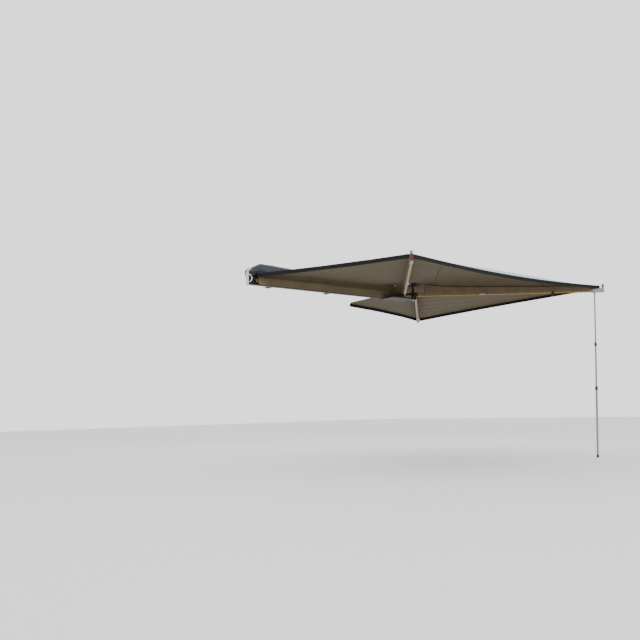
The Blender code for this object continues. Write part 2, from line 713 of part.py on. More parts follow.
def root_bolt(number):
    """Sleeve bolt through the tube and the knuckle's plug, with a low head on each side."""
    offset = ARM_TABLE[number]["offset"]
    face = ARM_WIDTH / 2 + GAP
    rim = ROOT_BOLT_HEAD_RADIUS
    crown = rim - ROOT_BOLT_HEAD
    outside = face + ROOT_BOLT_HEAD
    profile = [(0.0, -outside), (crown, -outside), (rim, -face), (ROOT_BOLT_RADIUS, -face),
               (ROOT_BOLT_RADIUS, face), (rim, face), (crown, outside), (0.0, outside)]
    place = Matrix.Translation((ROOT_BOLT_PLACE, -offset, ARM_MIDDLE)) @ turn_x(90)
    return moved(turned(profile, SMALL_ROUND), place)


def make_arm(number, finishes, pivot):
    arm = ARM_TABLE[number]
    offset = arm["offset"]
    beam = beam_matrix(number)
    bottom = WASHER_HEIGHT + GAP + arm["level"] * LEVEL_PITCH
    finish("knuckle_%d" % number, knuckle_body(number), finishes.black, pivot)
    finish("bush_%d" % number, ring(BORE_RADIUS + BUSH_WALL, BORE_RADIUS, bottom, bottom + EYE_HEIGHT),
           finishes.nylon, pivot)
    low = (ARM_START, -offset - ARM_WIDTH / 2, ARM_BOTTOM)
    high = (ARM_REACH - ARM_END_MARGIN, -offset + ARM_WIDTH / 2, ARM_TOP)
    tube = cut(hollow_bar(low, high), root_bolt_hole(number))
    finish("arm_tube_%d" % number, moved(tube, beam), finishes.arm, pivot)
    finish("root_bolt_%d" % number, moved(root_bolt(number), beam), finishes.steel, pivot)
    finish("tip_fitting_%d" % number, moved(tip_body(number), beam), finishes.bright, pivot)
    patch = [(ARM_REACH - CORNER_PATCH_LENGTH, -CORNER_PATCH_HALF), (ARM_REACH, -CORNER_PATCH_HALF)]
    patch += arc((ARM_REACH, 0.0), CORNER_PATCH_HALF, -90, 90, 8)[1:]
    patch.append((ARM_REACH - CORNER_PATCH_LENGTH, CORNER_PATCH_HALF))
    patch_body = extrude([(x, y - offset, arm["canopy"] - CLOTH) for x, y in patch], (0, 0, 2 * CLOTH))
    eyelet = disc(PEG_RADIUS + GAP, 0.0, arm["canopy"] + CORNER_PATCH_HALF, SMALL_ROUND)
    patch_body = cut(patch_body, moved(eyelet, Matrix.Translation((ARM_REACH, -offset, 0))))
    finish("corner_patch_%d" % number, moved(patch_body, beam), finishes.hem, pivot)
    seat = arm["canopy"] + CLOTH + GAP
    knob = [(PEG_RADIUS + GAP, seat), (KNOB_RADIUS * 0.55, seat), (KNOB_RADIUS, seat + KNOB_HEIGHT * 0.28),
            (KNOB_RADIUS, seat + KNOB_HEIGHT * 0.62), (KNOB_RADIUS * 0.72, seat + KNOB_HEIGHT * 0.9),
            (0.0, seat + KNOB_HEIGHT), (0.0, seat + 0.012), (PEG_RADIUS + GAP, seat + 0.012)]
    knob_body = moved(turned(knob), Matrix.Translation((ARM_REACH, -offset, 0)))
    finish("tip_knob_%d" % number, moved(knob_body, beam), finishes.bright, pivot)


def bridge_bottom(arm):
    """Underside of the plate that joins a tip's prongs below the canopy's corner."""
    return arm["canopy"] - CLOTH - GAP - BRIDGE


def tip_body(number):
    """Cast cap over the tube's end, two prongs under the canopy's corner and a peg through it."""
    arm = ARM_TABLE[number]
    offset = arm["offset"]
    half = ARM_WIDTH / 2 + GAP + TIP_WALL
    low_z = ARM_BOTTOM - GAP - TIP_WALL
    high_z = ARM_TOP + GAP + TIP_WALL
    tube_end = ARM_REACH - ARM_END_MARGIN
    start = tube_end - TIP_SLEEVE
    if number == 3:
        start = POLE_PLACE - 0.028
    end = tube_end + TIP_HEAD
    nose = [(start, -half), (end - half, -half)] + arc((end - half, 0.0), half, -90, 90, 8)
    nose.append((start, half))
    body = extrude([(x, y - offset, low_z) for x, y in nose], (0, 0, high_z - low_z))
    cavity_low = (start - 0.01, -offset - ARM_WIDTH / 2 - GAP, ARM_BOTTOM - GAP)
    cavity_high = (tube_end + GAP, -offset + ARM_WIDTH / 2 + GAP, ARM_TOP + GAP)
    body = cut(body, bar_along_x(cavity_low, cavity_high, ARM_CORNER - GAP))
    seat = arm["canopy"] - CLOTH - GAP
    for side in (-1, 1):
        centre = side * (half - PRONG / 2 - 0.002) - offset
        prong = box((ARM_REACH - 0.012, centre - PRONG / 2, high_z - 0.004),
                    (ARM_REACH + 0.008, centre + PRONG / 2, seat - BRIDGE / 2), 0.001, 1)
        body = fuse(body, prong)
    bridge = disc(half, bridge_bottom(arm), seat, 16)
    peg = disc(PEG_RADIUS, seat - PRONG, arm["canopy"] + CLOTH + GAP + 0.010, SMALL_ROUND)
    for piece in (bridge, peg):
        body = fuse(body, moved(piece, Matrix.Translation((ARM_REACH, -offset, 0))))
    if number == 3:
        body = fuse(body, *pole_ears(offset, low_z))
        hole = disc(HINGE_PIN_RADIUS + GAP, -ARM_WIDTH, ARM_WIDTH, SMALL_ROUND)
        place = Matrix.Translation((POLE_PLACE, -offset, POLE_HINGE_HEIGHT)) @ turn_x(90)
        body = cut(body, moved(hole, place))
    return body


def pole_ears(offset, low_z):
    """Two ears under the third tip that carry the pole's hinge pin."""
    ears = []
    for side in (-1, 1):
        inner = TONGUE_THICKNESS / 2 + SLIDE_GAP
        near = side * inner
        depth = side * EAR_THICKNESS
        outline = [(POLE_PLACE + 0.014, low_z + 0.001), (POLE_PLACE - 0.014, low_z + 0.001)]
        outline += arc((POLE_PLACE, POLE_HINGE_HEIGHT), TONGUE_RADIUS, 180, 360, 8)
        ears.append(extrude([(x, near - offset, z) for x, z in outline], (0, depth, 0)))
    return ears


def make_third_arm_extras(finishes, pivot):
    """Hinge pin of the pole, hanging bar on its two posts, and the clip that stows the pole."""
    offset = ARM_TABLE[3]["offset"]
    reach = TONGUE_THICKNESS / 2 + SLIDE_GAP + EAR_THICKNESS + GAP
    profile = [(0.0, -reach - 0.0015), (HINGE_PIN_RADIUS * 1.6, -reach - 0.0015),
               (HINGE_PIN_RADIUS * 1.6, -reach), (HINGE_PIN_RADIUS, -reach), (HINGE_PIN_RADIUS, reach),
               (HINGE_PIN_RADIUS * 1.6, reach), (HINGE_PIN_RADIUS * 1.6, reach + 0.0015),
               (0.0, reach + 0.0015)]
    pin = moved(turned(profile, SMALL_ROUND),
                Matrix.Translation((POLE_PLACE, -offset, POLE_HINGE_HEIGHT)) @ turn_x(90))
    finish("pole_pin", pin, finishes.steel, pivot)

    side = -offset - ARM_WIDTH / 2
    bar_y = side - BAR_STANDOFF
    half = BAR_LENGTH / 2
    bar = moved(disc(BAR_RADIUS, -half, half, SMALL_ROUND),
                Matrix.Translation((BAR_CENTRE, bar_y, BAR_HEIGHT)) @ turn_y(90))
    finish("hanging_bar", bar, finishes.bright, pivot)
    for end, label in ((-1, "inner"), (1, "outer")):
        x = BAR_CENTRE + end * (half - 0.008)
        cup = moved(ring(BAR_POST_RADIUS, BAR_RADIUS + GAP, -0.008, 0.008, SMALL_ROUND),
                    Matrix.Translation((x, bar_y, BAR_HEIGHT)) @ turn_y(90))
        stem = box((x - 0.006, bar_y + BAR_RADIUS + 2 * GAP, BAR_HEIGHT - 0.005),
                   (x + 0.006, side - GAP, BAR_HEIGHT + 0.005))
        finish("bar_post_" + label, fuse(cup, stem), finishes.plastic, pivot)
    finish("pole_clip", clip_body(offset), finishes.plastic, pivot)


def clip_body(offset):
    """C clip open downwards, with a saddle under the tube and an ear up its side."""
    inner = LOWER_RADIUS + GAP
    outer = inner + CLIP_WALL
    gap_angle = math.degrees(math.asin(CLIP_MOUTH / inner))
    centre = (-offset, POLE_HINGE_HEIGHT)
    outline = arc(centre, outer, -90 + gap_angle, 270 - gap_angle, 20)
    outline += arc(centre, inner, 270 - gap_angle, -90 + gap_angle, 20)
    x = CLIP_PLACE - CLIP_LENGTH / 2
    body = extrude([(x, y, z) for y, z in outline], (CLIP_LENGTH, 0, 0))
    half = ARM_WIDTH / 2 + GAP
    side = -offset - half
    under = ARM_BOTTOM - GAP
    saddle_low = POLE_HINGE_HEIGHT + inner + CLIP_WALL / 3
    saddle = [(side - CLIP_EAR, saddle_low), (-offset + half, saddle_low), (-offset + half, under),
              (side, under), (side, under + CLIP_EAR_HEIGHT), (side - CLIP_EAR, under + CLIP_EAR_HEIGHT)]
    bracket = extrude([(x + GAP, y, z) for y, z in saddle], (CLIP_LENGTH - 2 * GAP, 0, 0))
    return fuse(body, bracket)


# Pole, in its own frame: Z up along the pole, X towards the arm's tip, origin on the hinge


def make_pole(finishes, third_pivot):
    """Three tubes, one inside the next, that shorten upwards and fold up under the arm."""
    offset = ARM_TABLE[3]["offset"]
    frame = make_empty("pole_pivot", (POLE_PLACE, -offset, POLE_HINGE_HEIGHT), 0.0, third_pivot)
    frame.rotation_euler = (0.0, math.radians(POLE_LEAN), 0.0)
    tongue = disc(TONGUE_RADIUS - 2 * GAP, -TONGUE_THICKNESS / 2, TONGUE_THICKNESS / 2, ROUND)
    tongue = moved(tongue, turn_x(90))
    half = TONGUE_THICKNESS / 2 - GAP
    neck = box((-NECK_HALF, -half, -NECK + 2 * GAP), (NECK_HALF, half, 0.0))
    collar = disc(UPPER_RADIUS, -NECK, -NECK + NECK_COLLAR, ROUND)
    plug = disc(UPPER_RADIUS - POLE_WALL - GAP, -NECK - EYE_PLUG, -NECK + NECK_COLLAR / 2, ROUND)
    eye = fuse(tongue, neck, collar, plug)
    hole = moved(disc(HINGE_PIN_RADIUS + GAP, -0.02, 0.02, SMALL_ROUND), turn_x(90))
    finish("pole_eye", cut(eye, hole), finishes.bright, frame)

    upper_top = -NECK - GAP
    mid_top = -UPPER_SHOWN
    lower_top = mid_top - MID_SHOWN
    foot_top = lower_top - LOWER_SHOWN
    tubes = (("pole_upper", UPPER_RADIUS, upper_top, mid_top - TUBE_OVERLAP),
             ("pole_mid", MID_RADIUS, mid_top, lower_top - TUBE_OVERLAP),
             ("pole_lower", LOWER_RADIUS, lower_top, foot_top - 0.010))
    for name, radius, top, bottom in tubes:
        tube = ring(radius, radius - POLE_WALL, bottom, top)
        finish(name, tube, finishes.pole, frame)
    finish("collar_upper", collar_body(mid_top, MID_RADIUS, UPPER_RADIUS), finishes.plastic, frame)
    finish("collar_lower", collar_body(lower_top, LOWER_RADIUS, MID_RADIUS), finishes.plastic, frame)
    finish("pole_foot", foot_body(foot_top), finishes.rubber, frame)
    return frame


def collar_body(tube_top, tube_radius, inner_radius):
    """Twist collar: ribbed barrel on the wider tube, with a lip that grips the thinner one."""
    bottom = tube_top - COLLAR_HEIGHT + COLLAR_LIP
    lip_top = tube_top + COLLAR_LIP
    barrel = tube_radius + GAP + COLLAR_WALL
    profile = [(tube_radius + GAP, bottom), (barrel - COLLAR_EASE, bottom),
               (barrel, bottom + COLLAR_EASE), (barrel, lip_top - COLLAR_LIP),
               (inner_radius + COLLAR_WALL / 2 + SLIDE_GAP, lip_top),
               (inner_radius + SLIDE_GAP, lip_top), (inner_radius + SLIDE_GAP, tube_top + GAP),
               (tube_radius + GAP, tube_top + GAP)]
    body = turned(profile, ROUND)
    for k in range(COLLAR_RIBS):
        angle = 2 * math.pi * k / COLLAR_RIBS
        rib = box((barrel - COLLAR_RIB, -COLLAR_RIB, bottom + COLLAR_LIP),
                  (barrel + COLLAR_RIB, COLLAR_RIB, tube_top - COLLAR_LIP))
        body = fuse(body, moved(rib, Matrix.Rotation(angle, 4, "Z")))
    return body


def foot_body(foot_top):
    """Rubber foot: a cup round the lower tube with a domed sole."""
    outer = FOOT_RADIUS
    inner = LOWER_RADIUS + GAP
    floor = foot_top - 0.010 - GAP
    bottom = foot_top - FOOT_HEIGHT + 0.012
    profile = [(0.0, bottom), (outer * 0.55, bottom + 0.0008), (outer * 0.9, bottom + 0.004),
               (outer, bottom + 0.009), (outer * 0.94, foot_top + 0.012), (inner, foot_top + 0.014),
               (inner, floor), (0.0, floor)]
    return turned(profile)


# Canopy: one closed form for every panel, worked out from the arms


def canopy_line(key, share):
    """Point of the canopy's fold over an arm, from the hub (0) to the tip (1), in the hub's frame."""
    if key == "rail":
        bearing, offset, ramp = RAIL_BEARING, RAIL_ARM_OFFSET, 0.18
        reach, tip = RAIL_CANOPY_REACH, RAIL_CANOPY
    elif key == "tie":
        bearing, offset, ramp = 90.0, 0.0, 1.0
        reach, tip = TIE_REACH, TIE_CANOPY
    else:
        arm = ARM_TABLE[key]
        bearing, offset, ramp = arm["bearing"], arm["offset"], 0.35
        reach, tip = CANOPY_REACH, arm["canopy"] - arm["drop"]
    along = reach * share
    angle = math.radians(bearing)
    forward = Vector((math.cos(angle), math.sin(angle), 0.0))
    right = Vector((math.sin(angle), -math.cos(angle), 0.0))
    height = CANOPY_ROOT + (tip - CANOPY_ROOT) * share
    away = math.hypot(along, PEAK_ROUND) - PEAK_ROUND
    height += (CANOPY_PEAK - CANOPY_ROOT) * math.exp(-away / PEAK_WIDTH)
    place = forward * along + right * offset * smoothstep(along / ramp)
    place.z = height
    return place


# Each panel: the two lines it hangs between, the inward bow of its hem, and its rise
PANELS = {
    "a": {"lines": ("rail", 2), "bow": 0.050, "sag": 0.0, "rise": 0.020},
    "b": {"lines": (2, 3), "bow": 0.200, "sag": 0.0, "rise": 0.100},
    "c": {"lines": (3, 4), "bow": 0.060, "sag": 0.0, "rise": 0.030},
    "d": {"lines": (4, "tie"), "bow": 0.060, "sag": 0.0, "rise": 0.0},
}


def hem_point(panel, across):
    """Point on a panel's outer edge, bowed in towards the hub between the tips."""
    first, second = PANELS[panel]["lines"]
    start = canopy_line(first, 1.0)
    end = canopy_line(second, 1.0)
    chord = end - start
    inward = Vector((chord.y, -chord.x, 0.0)).normalized()
    if inward.dot(start + end) > 0:
        inward = -inward
    bulge = 4 * across * (1 - across)
    return start + chord * across + inward * PANELS[panel]["bow"] * bulge


def canopy_point(panel, across, out):
    """Point on a panel: across from one arm to the next, out from the hub to the hem."""
    first, second = PANELS[panel]["lines"]
    peak = Vector((0.0, 0.0, CANOPY_PEAK))
    place = peak.lerp(hem_point(panel, across), out)
    place += (1 - across) * (canopy_line(first, out) - peak.lerp(hem_point(panel, 0.0), out))
    place += across * (canopy_line(second, out) - peak.lerp(hem_point(panel, 1.0), out))
    swell = 4 * across * (1 - across) * 1.4 * out * (1 - out ** 8)
    place.z += PANELS[panel]["rise"] * swell
    return place


def seam_inset(panel, across, out):
    """Push a panel's side edges off the fold line so that neighbours don't meet."""
    place = canopy_point(panel, across, out)
    beside = canopy_point(panel, min(max(across, 0.02), 0.98), out)
    if 0.0 < across < 1.0:
        return place
    step = beside - place
    step.z = 0.0
    return place + step.normalized() * SEAM_HALF


def make_canopy(finishes, hub, pivots):
    """Four panels with their hems turned down, each under the frame of the arm that carries it."""
    carriers = {"a": hub, "b": pivots[2], "c": pivots[3], "d": pivots[4]}
    for panel, carrier in carriers.items():
        to_carrier = carrier_matrix(panel)

        def surface(u, v, panel=panel, to_carrier=to_carrier):
            return to_carrier @ panel_place(panel, u, v)

        sheet("canopy_panel_" + panel, surface, PANEL_ACROSS, PANEL_OUT + HEM_ROWS, CLOTH,
              finishes.canvas, carrier)


def corner_trim(panel):
    """Share of a hem cut off at each end, so that it clears the arm's tip by CORNER_CLEAR."""
    shares = []
    for key, end, inside in zip(PANELS[panel]["lines"], (0.0, 1.0), (0.05, 0.95)):
        tip = canopy_line(key, 1.0)
        arm = tip - canopy_line(key, 0.9)
        reach = hem_point(panel, inside) - tip
        aside = abs(arm.x * reach.y - arm.y * reach.x) / arm.to_2d().length
        shares.append(abs(inside - end) * CORNER_CLEAR / aside)
    return max(shares)


def panel_place(panel, u, v):
    """Grid place on a panel: rows out from the hub to its edge, then down the hem."""
    row = v * (PANEL_OUT + HEM_ROWS)
    inner = HUB_HOLE / CANOPY_REACH
    trim = corner_trim(panel)
    if row <= PANEL_OUT:
        out = inner + (1 - inner) * (row / PANEL_OUT) ** ROW_CROWDING
        trim *= smoothstep(1 - (1 - out) * CANOPY_REACH / NOTCH_LENGTH)
        return seam_inset(panel, trim + (1 - 2 * trim) * u, out)
    place = canopy_point(panel, trim + (1 - 2 * trim) * u, 1.0)
    place.z -= HEM_HEIGHT * (row - PANEL_OUT) / HEM_ROWS
    return place


def carrier_matrix(panel):
    """Matrix from the hub's frame to the frame of the arm that carries a panel."""
    owner = {"a": None, "b": 2, "c": 3, "d": 4}[panel]
    if owner is None:
        return Matrix.Identity(4)
    return Matrix.Rotation(-math.radians(ARM_TABLE[owner]["bearing"]), 4, "Z")


def make_sleeve(number, finishes, pivot):
    """Cloth channel that ties the canopy down to the arm: a roof and two sides round the tube."""
    arm = ARM_TABLE[number]
    offset = arm["offset"]
    beam = beam_matrix(number)
    inner = ARM_WIDTH / 2 + GAP
    outer = inner + 2 * CLOTH
    stations = 12
    sections = []
    for k in range(stations + 1):
        x = SLEEVE_START + (SLEEVE_END - SLEEVE_START) * k / stations
        place = canopy_line(number, x / CANOPY_REACH)
        drop = arm["drop"] * (x - ARM_START) / ARM_REACH
        roof = place.z + drop - 2 * CLOTH
        under = roof - 2 * CLOTH
        profile = [(-outer, SLEEVE_BOTTOM), (-outer, roof), (outer, roof), (outer, SLEEVE_BOTTOM),
                   (inner, SLEEVE_BOTTOM), (inner, under), (-inner, under), (-inner, SLEEVE_BOTTOM)]
        sections.append([(x, y - offset, z) for y, z in profile])
    finish("arm_sleeve_%d" % number, moved(loft(sections), beam), finishes.sleeve, pivot)


def make_rail_wall(finishes, hub):
    """Cloth that hangs from the canopy down the face of the rail, with shallow upright folds."""
    offset = RAIL_FACE - WALL_OFFSET

    def surface(u, v):
        share = 0.085 + (0.985 - 0.085) * u
        x = -RAIL_CANOPY_REACH * share
        top = canopy_line("rail", share).z - 3 * CLOTH - PANELS["a"]["rise"] * 0.02
        bottom = TRAY_THICKNESS + 0.002
        ripple = WALL_RIPPLE * math.sin(46 * x) * math.sin(math.pi * v)
        return Vector((x, offset + ripple, bottom + (top - bottom) * v))

    sheet("rail_wall", surface, 40, 4, CLOTH, finishes.canvas, hub)


def make_travel_cover(finishes, hub):
    """Travel cover thrown back over the rail: a loose roll with long folds."""
    sections = []
    stations = 26
    around = 16
    rest = RAIL_HEIGHT + GAP
    for k in range(stations + 1):
        share = k / stations
        x = COVER_START + (COVER_END - COVER_START) * share
        swell = 0.86 + 0.14 * math.sin(9.0 * share + 0.6) * math.cos(5.0 * share)
        taper = min(1.0, 0.55 + 6 * share, 0.5 + 5 * (1 - share))
        centre_y = RAIL_BACK + 0.012 + 0.004 * math.sin(7 * share)
        half_width = 0.034 * taper
        half_height = 0.044 * swell * taper
        centre_z = rest + half_height
        section = []
        for j in range(around):
            angle = 2 * math.pi * j / around
            fold = 1 + 0.07 * math.sin(3 * angle + 11 * share) + 0.05 * math.sin(5 * angle - 17 * share)
            z = centre_z + half_height * fold * math.sin(angle)
            section.append((x, centre_y + half_width * fold * math.cos(angle), max(z, rest)))
        sections.append(section)
    finish("travel_cover", loft(sections), finishes.cover, hub)


def make_tension_strap(finishes, pivot):
    """Short loop of webbing that hangs off the second tip's nose and tightens the canopy's corner."""
    offset = ARM_TABLE[2]["offset"]
    x = ARM_REACH - ARM_END_MARGIN + TIP_HEAD + GAP
    outer = arc((0, 0), 1.0, 0, 360, ROUND)[:-1]
    centre = (-offset, bridge_bottom(ARM_TABLE[2]) - GAP - STRAP_LOOP[1])
    rings = []
    for inset in (0.0, STRAP_THICKNESS):
        rings.append([(centre[0] + (STRAP_LOOP[0] - inset) * a, centre[1] + (STRAP_LOOP[1] - inset) * b)
                      for a, b in outer])
    body = extrude([(x, y, z) for y, z in rings[0]], (STRAP_WIDTH, 0, 0))
    hole = extrude([(x - STRAP_WIDTH, y, z) for y, z in rings[1]], (3 * STRAP_WIDTH, 0, 0))
    finish("tension_strap", cut(body, hole), finishes.strap, pivot)


def main():
    clear_scene()
    finishes = Finishes()
    hub = make_empty("hub_datum", PIN_PLACE)
    make_rail(finishes, hub)
    make_rack_brackets(finishes, hub)
    make_hub_bracket(finishes, hub)
    make_king_pin(finishes, hub)
    make_front_end(finishes, hub)
    make_rail_wall(finishes, hub)
    make_travel_cover(finishes, hub)
    pivots = {number: arm_frame(number, hub) for number in ARM_TABLE}
    for number, pivot in pivots.items():
        make_arm(number, finishes, pivot)
        make_sleeve(number, finishes, pivot)
    make_third_arm_extras(finishes, pivots[3])
    make_tension_strap(finishes, pivots[2])
    make_pole(finishes, pivots[3])
    make_canopy(finishes, hub, pivots)


main()
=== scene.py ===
"""Looks of the vehicle side awning: its cloth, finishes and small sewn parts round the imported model.

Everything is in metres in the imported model's frame. Places on the canopy are worked out in the
hub's frame, which has its origin on the king pin at the height of the rack.
"""
import json
import math

import bmesh
import bpy
from mathutils import Matrix, Vector, noise


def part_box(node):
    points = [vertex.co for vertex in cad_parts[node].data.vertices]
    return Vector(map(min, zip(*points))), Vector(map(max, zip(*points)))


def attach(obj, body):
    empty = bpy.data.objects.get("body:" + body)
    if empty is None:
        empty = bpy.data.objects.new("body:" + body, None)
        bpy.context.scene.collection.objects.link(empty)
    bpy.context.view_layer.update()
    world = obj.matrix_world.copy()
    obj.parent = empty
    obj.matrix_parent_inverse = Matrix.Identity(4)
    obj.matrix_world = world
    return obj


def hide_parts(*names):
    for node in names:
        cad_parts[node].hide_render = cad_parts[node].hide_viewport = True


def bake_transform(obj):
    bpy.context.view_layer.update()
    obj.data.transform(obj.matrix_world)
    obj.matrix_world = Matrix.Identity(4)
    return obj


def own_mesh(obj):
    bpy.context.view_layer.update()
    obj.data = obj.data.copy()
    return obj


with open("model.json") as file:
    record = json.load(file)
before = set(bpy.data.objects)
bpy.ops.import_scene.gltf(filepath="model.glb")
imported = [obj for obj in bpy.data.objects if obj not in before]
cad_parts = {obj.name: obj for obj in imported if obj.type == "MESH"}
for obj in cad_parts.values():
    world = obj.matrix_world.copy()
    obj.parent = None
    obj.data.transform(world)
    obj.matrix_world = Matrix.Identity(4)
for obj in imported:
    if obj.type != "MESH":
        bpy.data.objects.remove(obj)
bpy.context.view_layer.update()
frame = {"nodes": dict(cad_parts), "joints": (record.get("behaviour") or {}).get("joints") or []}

JOINTS = {joint["name"]: joint for joint in frame["joints"]}
PIN = Vector(JOINTS["arm_2_fold"]["pos_m"])

# Camera: place, turn from +Y towards +X, tilt up and roll in degrees, lens in mm, lift of the frame
CAMERA_PLACE = (-5.9645, -6.943, -1.389)
CAMERA_YAW = 40.06
CAMERA_PITCH = 2.97
CAMERA_ROLL = -1.285
CAMERA_LENS = 43.256
CAMERA_SHIFT = 0.0786
CAMERA_SENSOR = 36.0
FAR_CLIP = 200.0

# Studio: floor's side in metres, strength of the pale surroundings, and each lamp's place, aim, side,
# power in watts and tint
FLOOR_SIZE = 60.0
WORLD_STRENGTH = 1.9
LAMPS = {
    "key_light": {"place": (-5.0, -7.0, 5.5), "aim": (0.5, -0.8, 0.0), "size": 5.0, "power": 420.0,
                  "tint": (1.0, 0.98, 0.95)},
    "back_light": {"place": (5.0, 5.0, 4.5), "aim": (0.8, -0.6, 0.0), "size": 4.0, "power": 160.0,
                   "tint": (0.92, 0.96, 1.0)},
}

# Arms, with the same driving sizes as the solids: "sleeve" is where the cloth channel starts along
# the arm and how low its sides hang
ARM_REACH = 2.400
ARM_BOTTOM = 0.026
ARM_TOP = 0.070
ARM_START = 0.050
ARMS = {
    2: {"bearing": 225.5, "offset": 0.114, "canopy": 0.1095, "drop": 0.0, "sleeve": (0.36, 0.055)},
    3: {"bearing": 319.4, "offset": 0.066, "canopy": 0.1040, "drop": 0.0, "sleeve": (0.14, 0.042)},
    4: {"bearing": 402.0, "offset": 0.030, "canopy": 0.0810, "drop": 0.060, "sleeve": (0.36, 0.055)},
}

# Canopy: its cloth, the height of each kind of fold in it, the peak over the hub, and the hems
CLOTH = 0.0012
SLACK_BROAD = 0.006
SLACK_FINE = 0.0022
HUB_GATHER = 0.0028
TIP_PULL = 0.0040
SLANT_FOLD = 0.0075
HEM_WAVE = 0.0030
CANOPY_ROOT = 0.145
CANOPY_PEAK = 0.225
PEAK_SPREAD = 0.16
PEAK_ROUND = 0.04
HUB_HOLE = 0.014
SEAM_HALF = 0.0012
HEM_LAP = 0.012
HEM_FALL = 0.042
HEM_CLOTH = 0.0020
CORNER_CLEAR = 0.020
NOTCH_LENGTH = 0.130
ARM_RAMP = 0.35
CANOPY_REACH = 2.385

# The canopy's folds: way from the hub, side offset and the run that takes it up, reach, height at the
# tip and under the peak, and how late it falls
LINES = {
    "rail": {"bearing": 180.0, "offset": 0.1577, "ramp": 0.18, "reach": 2.350, "tip": 0.1247, "root": 0.152,
             "power": 2},
    "tie": {"bearing": 90.0, "offset": 0.0, "ramp": 1.0, "reach": 1.250, "tip": 0.100, "root": CANOPY_ROOT,
            "power": 1},
}
for number, arm in ARMS.items():
    LINES[number] = {"bearing": arm["bearing"], "offset": arm["offset"], "ramp": ARM_RAMP,
                     "reach": CANOPY_REACH, "tip": arm["canopy"] - arm["drop"], "root": CANOPY_ROOT,
                     "power": 1}

# Each panel: its two folds and the bodies they ride on, what it rests on, its grid, the inward bow of
# its hem, its upward swell, how far both lean to the second fold, the swell's shape near the hub and
# near the hem, and the hem's fall at the first and second fold
PANELS = {
    "a": {"lines": ("rail", 2), "bodies": ("root", "arm_2"), "on": "rail_arm", "grid": (84, 90),
          "bow": 0.050, "swell": 0.028, "lean": 0.0, "near_hub": 1.0, "near_hem": 8, "hem": (0.042, 0.042)},
    "b": {"lines": (2, 3), "bodies": ("arm_2", "arm_3"), "on": "arm_tube_3", "grid": (120, 100),
          "bow": 0.192, "swell": 0.168, "lean": 0.3, "near_hub": 0.8, "near_hem": 6, "hem": (0.042, 0.035)},
    "c": {"lines": (3, 4), "bodies": ("arm_3", "arm_4"), "on": "arm_tube_3", "grid": (110, 100),
          "bow": 0.060, "swell": 0.042, "lean": 0.0, "near_hub": 1.0, "near_hem": 8, "hem": (0.035, 0.042)},
    "d": {"lines": (4, "tie"), "bodies": ("arm_4", None), "on": "arm_tube_4", "grid": (70, 60),
          "bow": 0.060, "swell": 0.0, "lean": 0.0, "near_hub": 1.0, "near_hem": 8, "hem": (0.042, 0.042)},
}

# Weave and stitches, in millimetres but for the last: squares and threads of the ripstop, spacing of
# the stitches, and half the width of a stitched line in metres
RIPSTOP_SQUARE = 12.0
RIPSTOP_THREAD = 2.4
STITCH_SPACING = 8.0
STITCH_HALF = 0.0009

# Reinforcement round the hub, and the tapes and seam sewn to the cloth. PATCH_OUT, TAPE_END and
# FOLD_TAPE_END are shares of the way out from the hub.
PATCH_OUT = 0.072
PATCH_CLOTH = 0.0014
TAPE_HALF = 0.016
TAPE_CLOTH = 0.0010
TAPE_LIFT = CLOTH + 0.0005
TAPE_END = 0.945
FOLD_TAPE_END = 0.985
SEAM_START = 0.27
SEAM_WIDTH = 0.016
SEAM_CLOTH = 0.0008

# Arm sleeves, rail wall, and the travel cover, whose higher front part ends at COVER_HIGH of its
# length and falls away over COVER_FALL more
SLEEVE_END = 2.24
SLEEVE_HALF = 0.0156
SLEEVE_EASE = 0.010
SLEEVE_CORNER = 0.004
WALL_PLACE = 0.138
WALL_ENDS = (0.047, 2.315)
WALL_BOTTOM = 0.006
WALL_CREASE = 0.088
WALL_CREASE_DEPTH = 0.0035
WALL_SLACK = 0.0020
WALL_WAVE = 0.0016
COVER_START = -2.43
COVER_END = -0.16
COVER_REST = 0.0903
COVER_PLACE = 0.212
COVER_HIGH = 0.25
COVER_FALL = 0.14
COVER_HALF_WIDTH = 0.034
COVER_HALF_HEIGHT = 0.044
COVER_FRONT_WIDTH = 0.014
COVER_FRONT_HEIGHT = 0.038
COVER_CUT = 0.40
COVER_TURNS = 1.7
COVER_RIM = -60.0
COVER_DRAWN_IN = 0.36
COVER_CRUSH = 0.09
COVER_CLOTH = 0.0009

# Sewn and fixed parts: strap on the second tip with its angles in degrees, corner patches, rivets
# beside the pole clip, screws of the end plate, the rail arm's plug, and the cap and tab at the crown
STRAP_CLOTH = 0.0018
STRAP_RING_CUT = 0.20
STRAP_RING_START = 60.0
STRAP_RING_TURN = 385.0
STRAP_LAP = 0.0022
STRAP_TAIL_CUT = 0.13
STRAP_TAIL_START = 100.0
STRAP_TAIL_TURN = 340.0
STRAP_TAIL_WIDTH = 0.032
STRAP_TAIL_PLACE = 0.0062
STRAP_TAIL_HALF = 0.031
PATCH_HALF = 0.013
PATCH_LENGTH = 0.075
RIVET_PLACES = (1.728, 1.792)
RIVET_HEIGHT = 0.0625
RIVET_RADIUS = 0.0085
SCREW_PLACE = 0.186
SCREW_HEIGHTS = (0.018, 0.072)
SCREW_RADIUS = 0.0048
HEAD_HEIGHT = 0.0026
PLUG_CORNER = 0.0045
PLUG_EDGE = 0.0004
PLUG_GAP = 0.0002
PLUG_DEPTH = 0.0040
PLUG_BEVEL = 0.0010
CAP_LIFT = 0.0034
TAB_OUT = Vector((0.765, -0.644, 0.0))
TAB_START = 0.040
TAB_LENGTH = 0.034
TAB_HEIGHT = 0.026
TAB_BOTTOM = 0.174


def smoothstep(value):
    """Ease from 0 to 1, flat at both ends and beyond them."""
    value = min(max(value, 0.0), 1.0)
    return value * value * (3 - 2 * value)


# Camera, light and floor


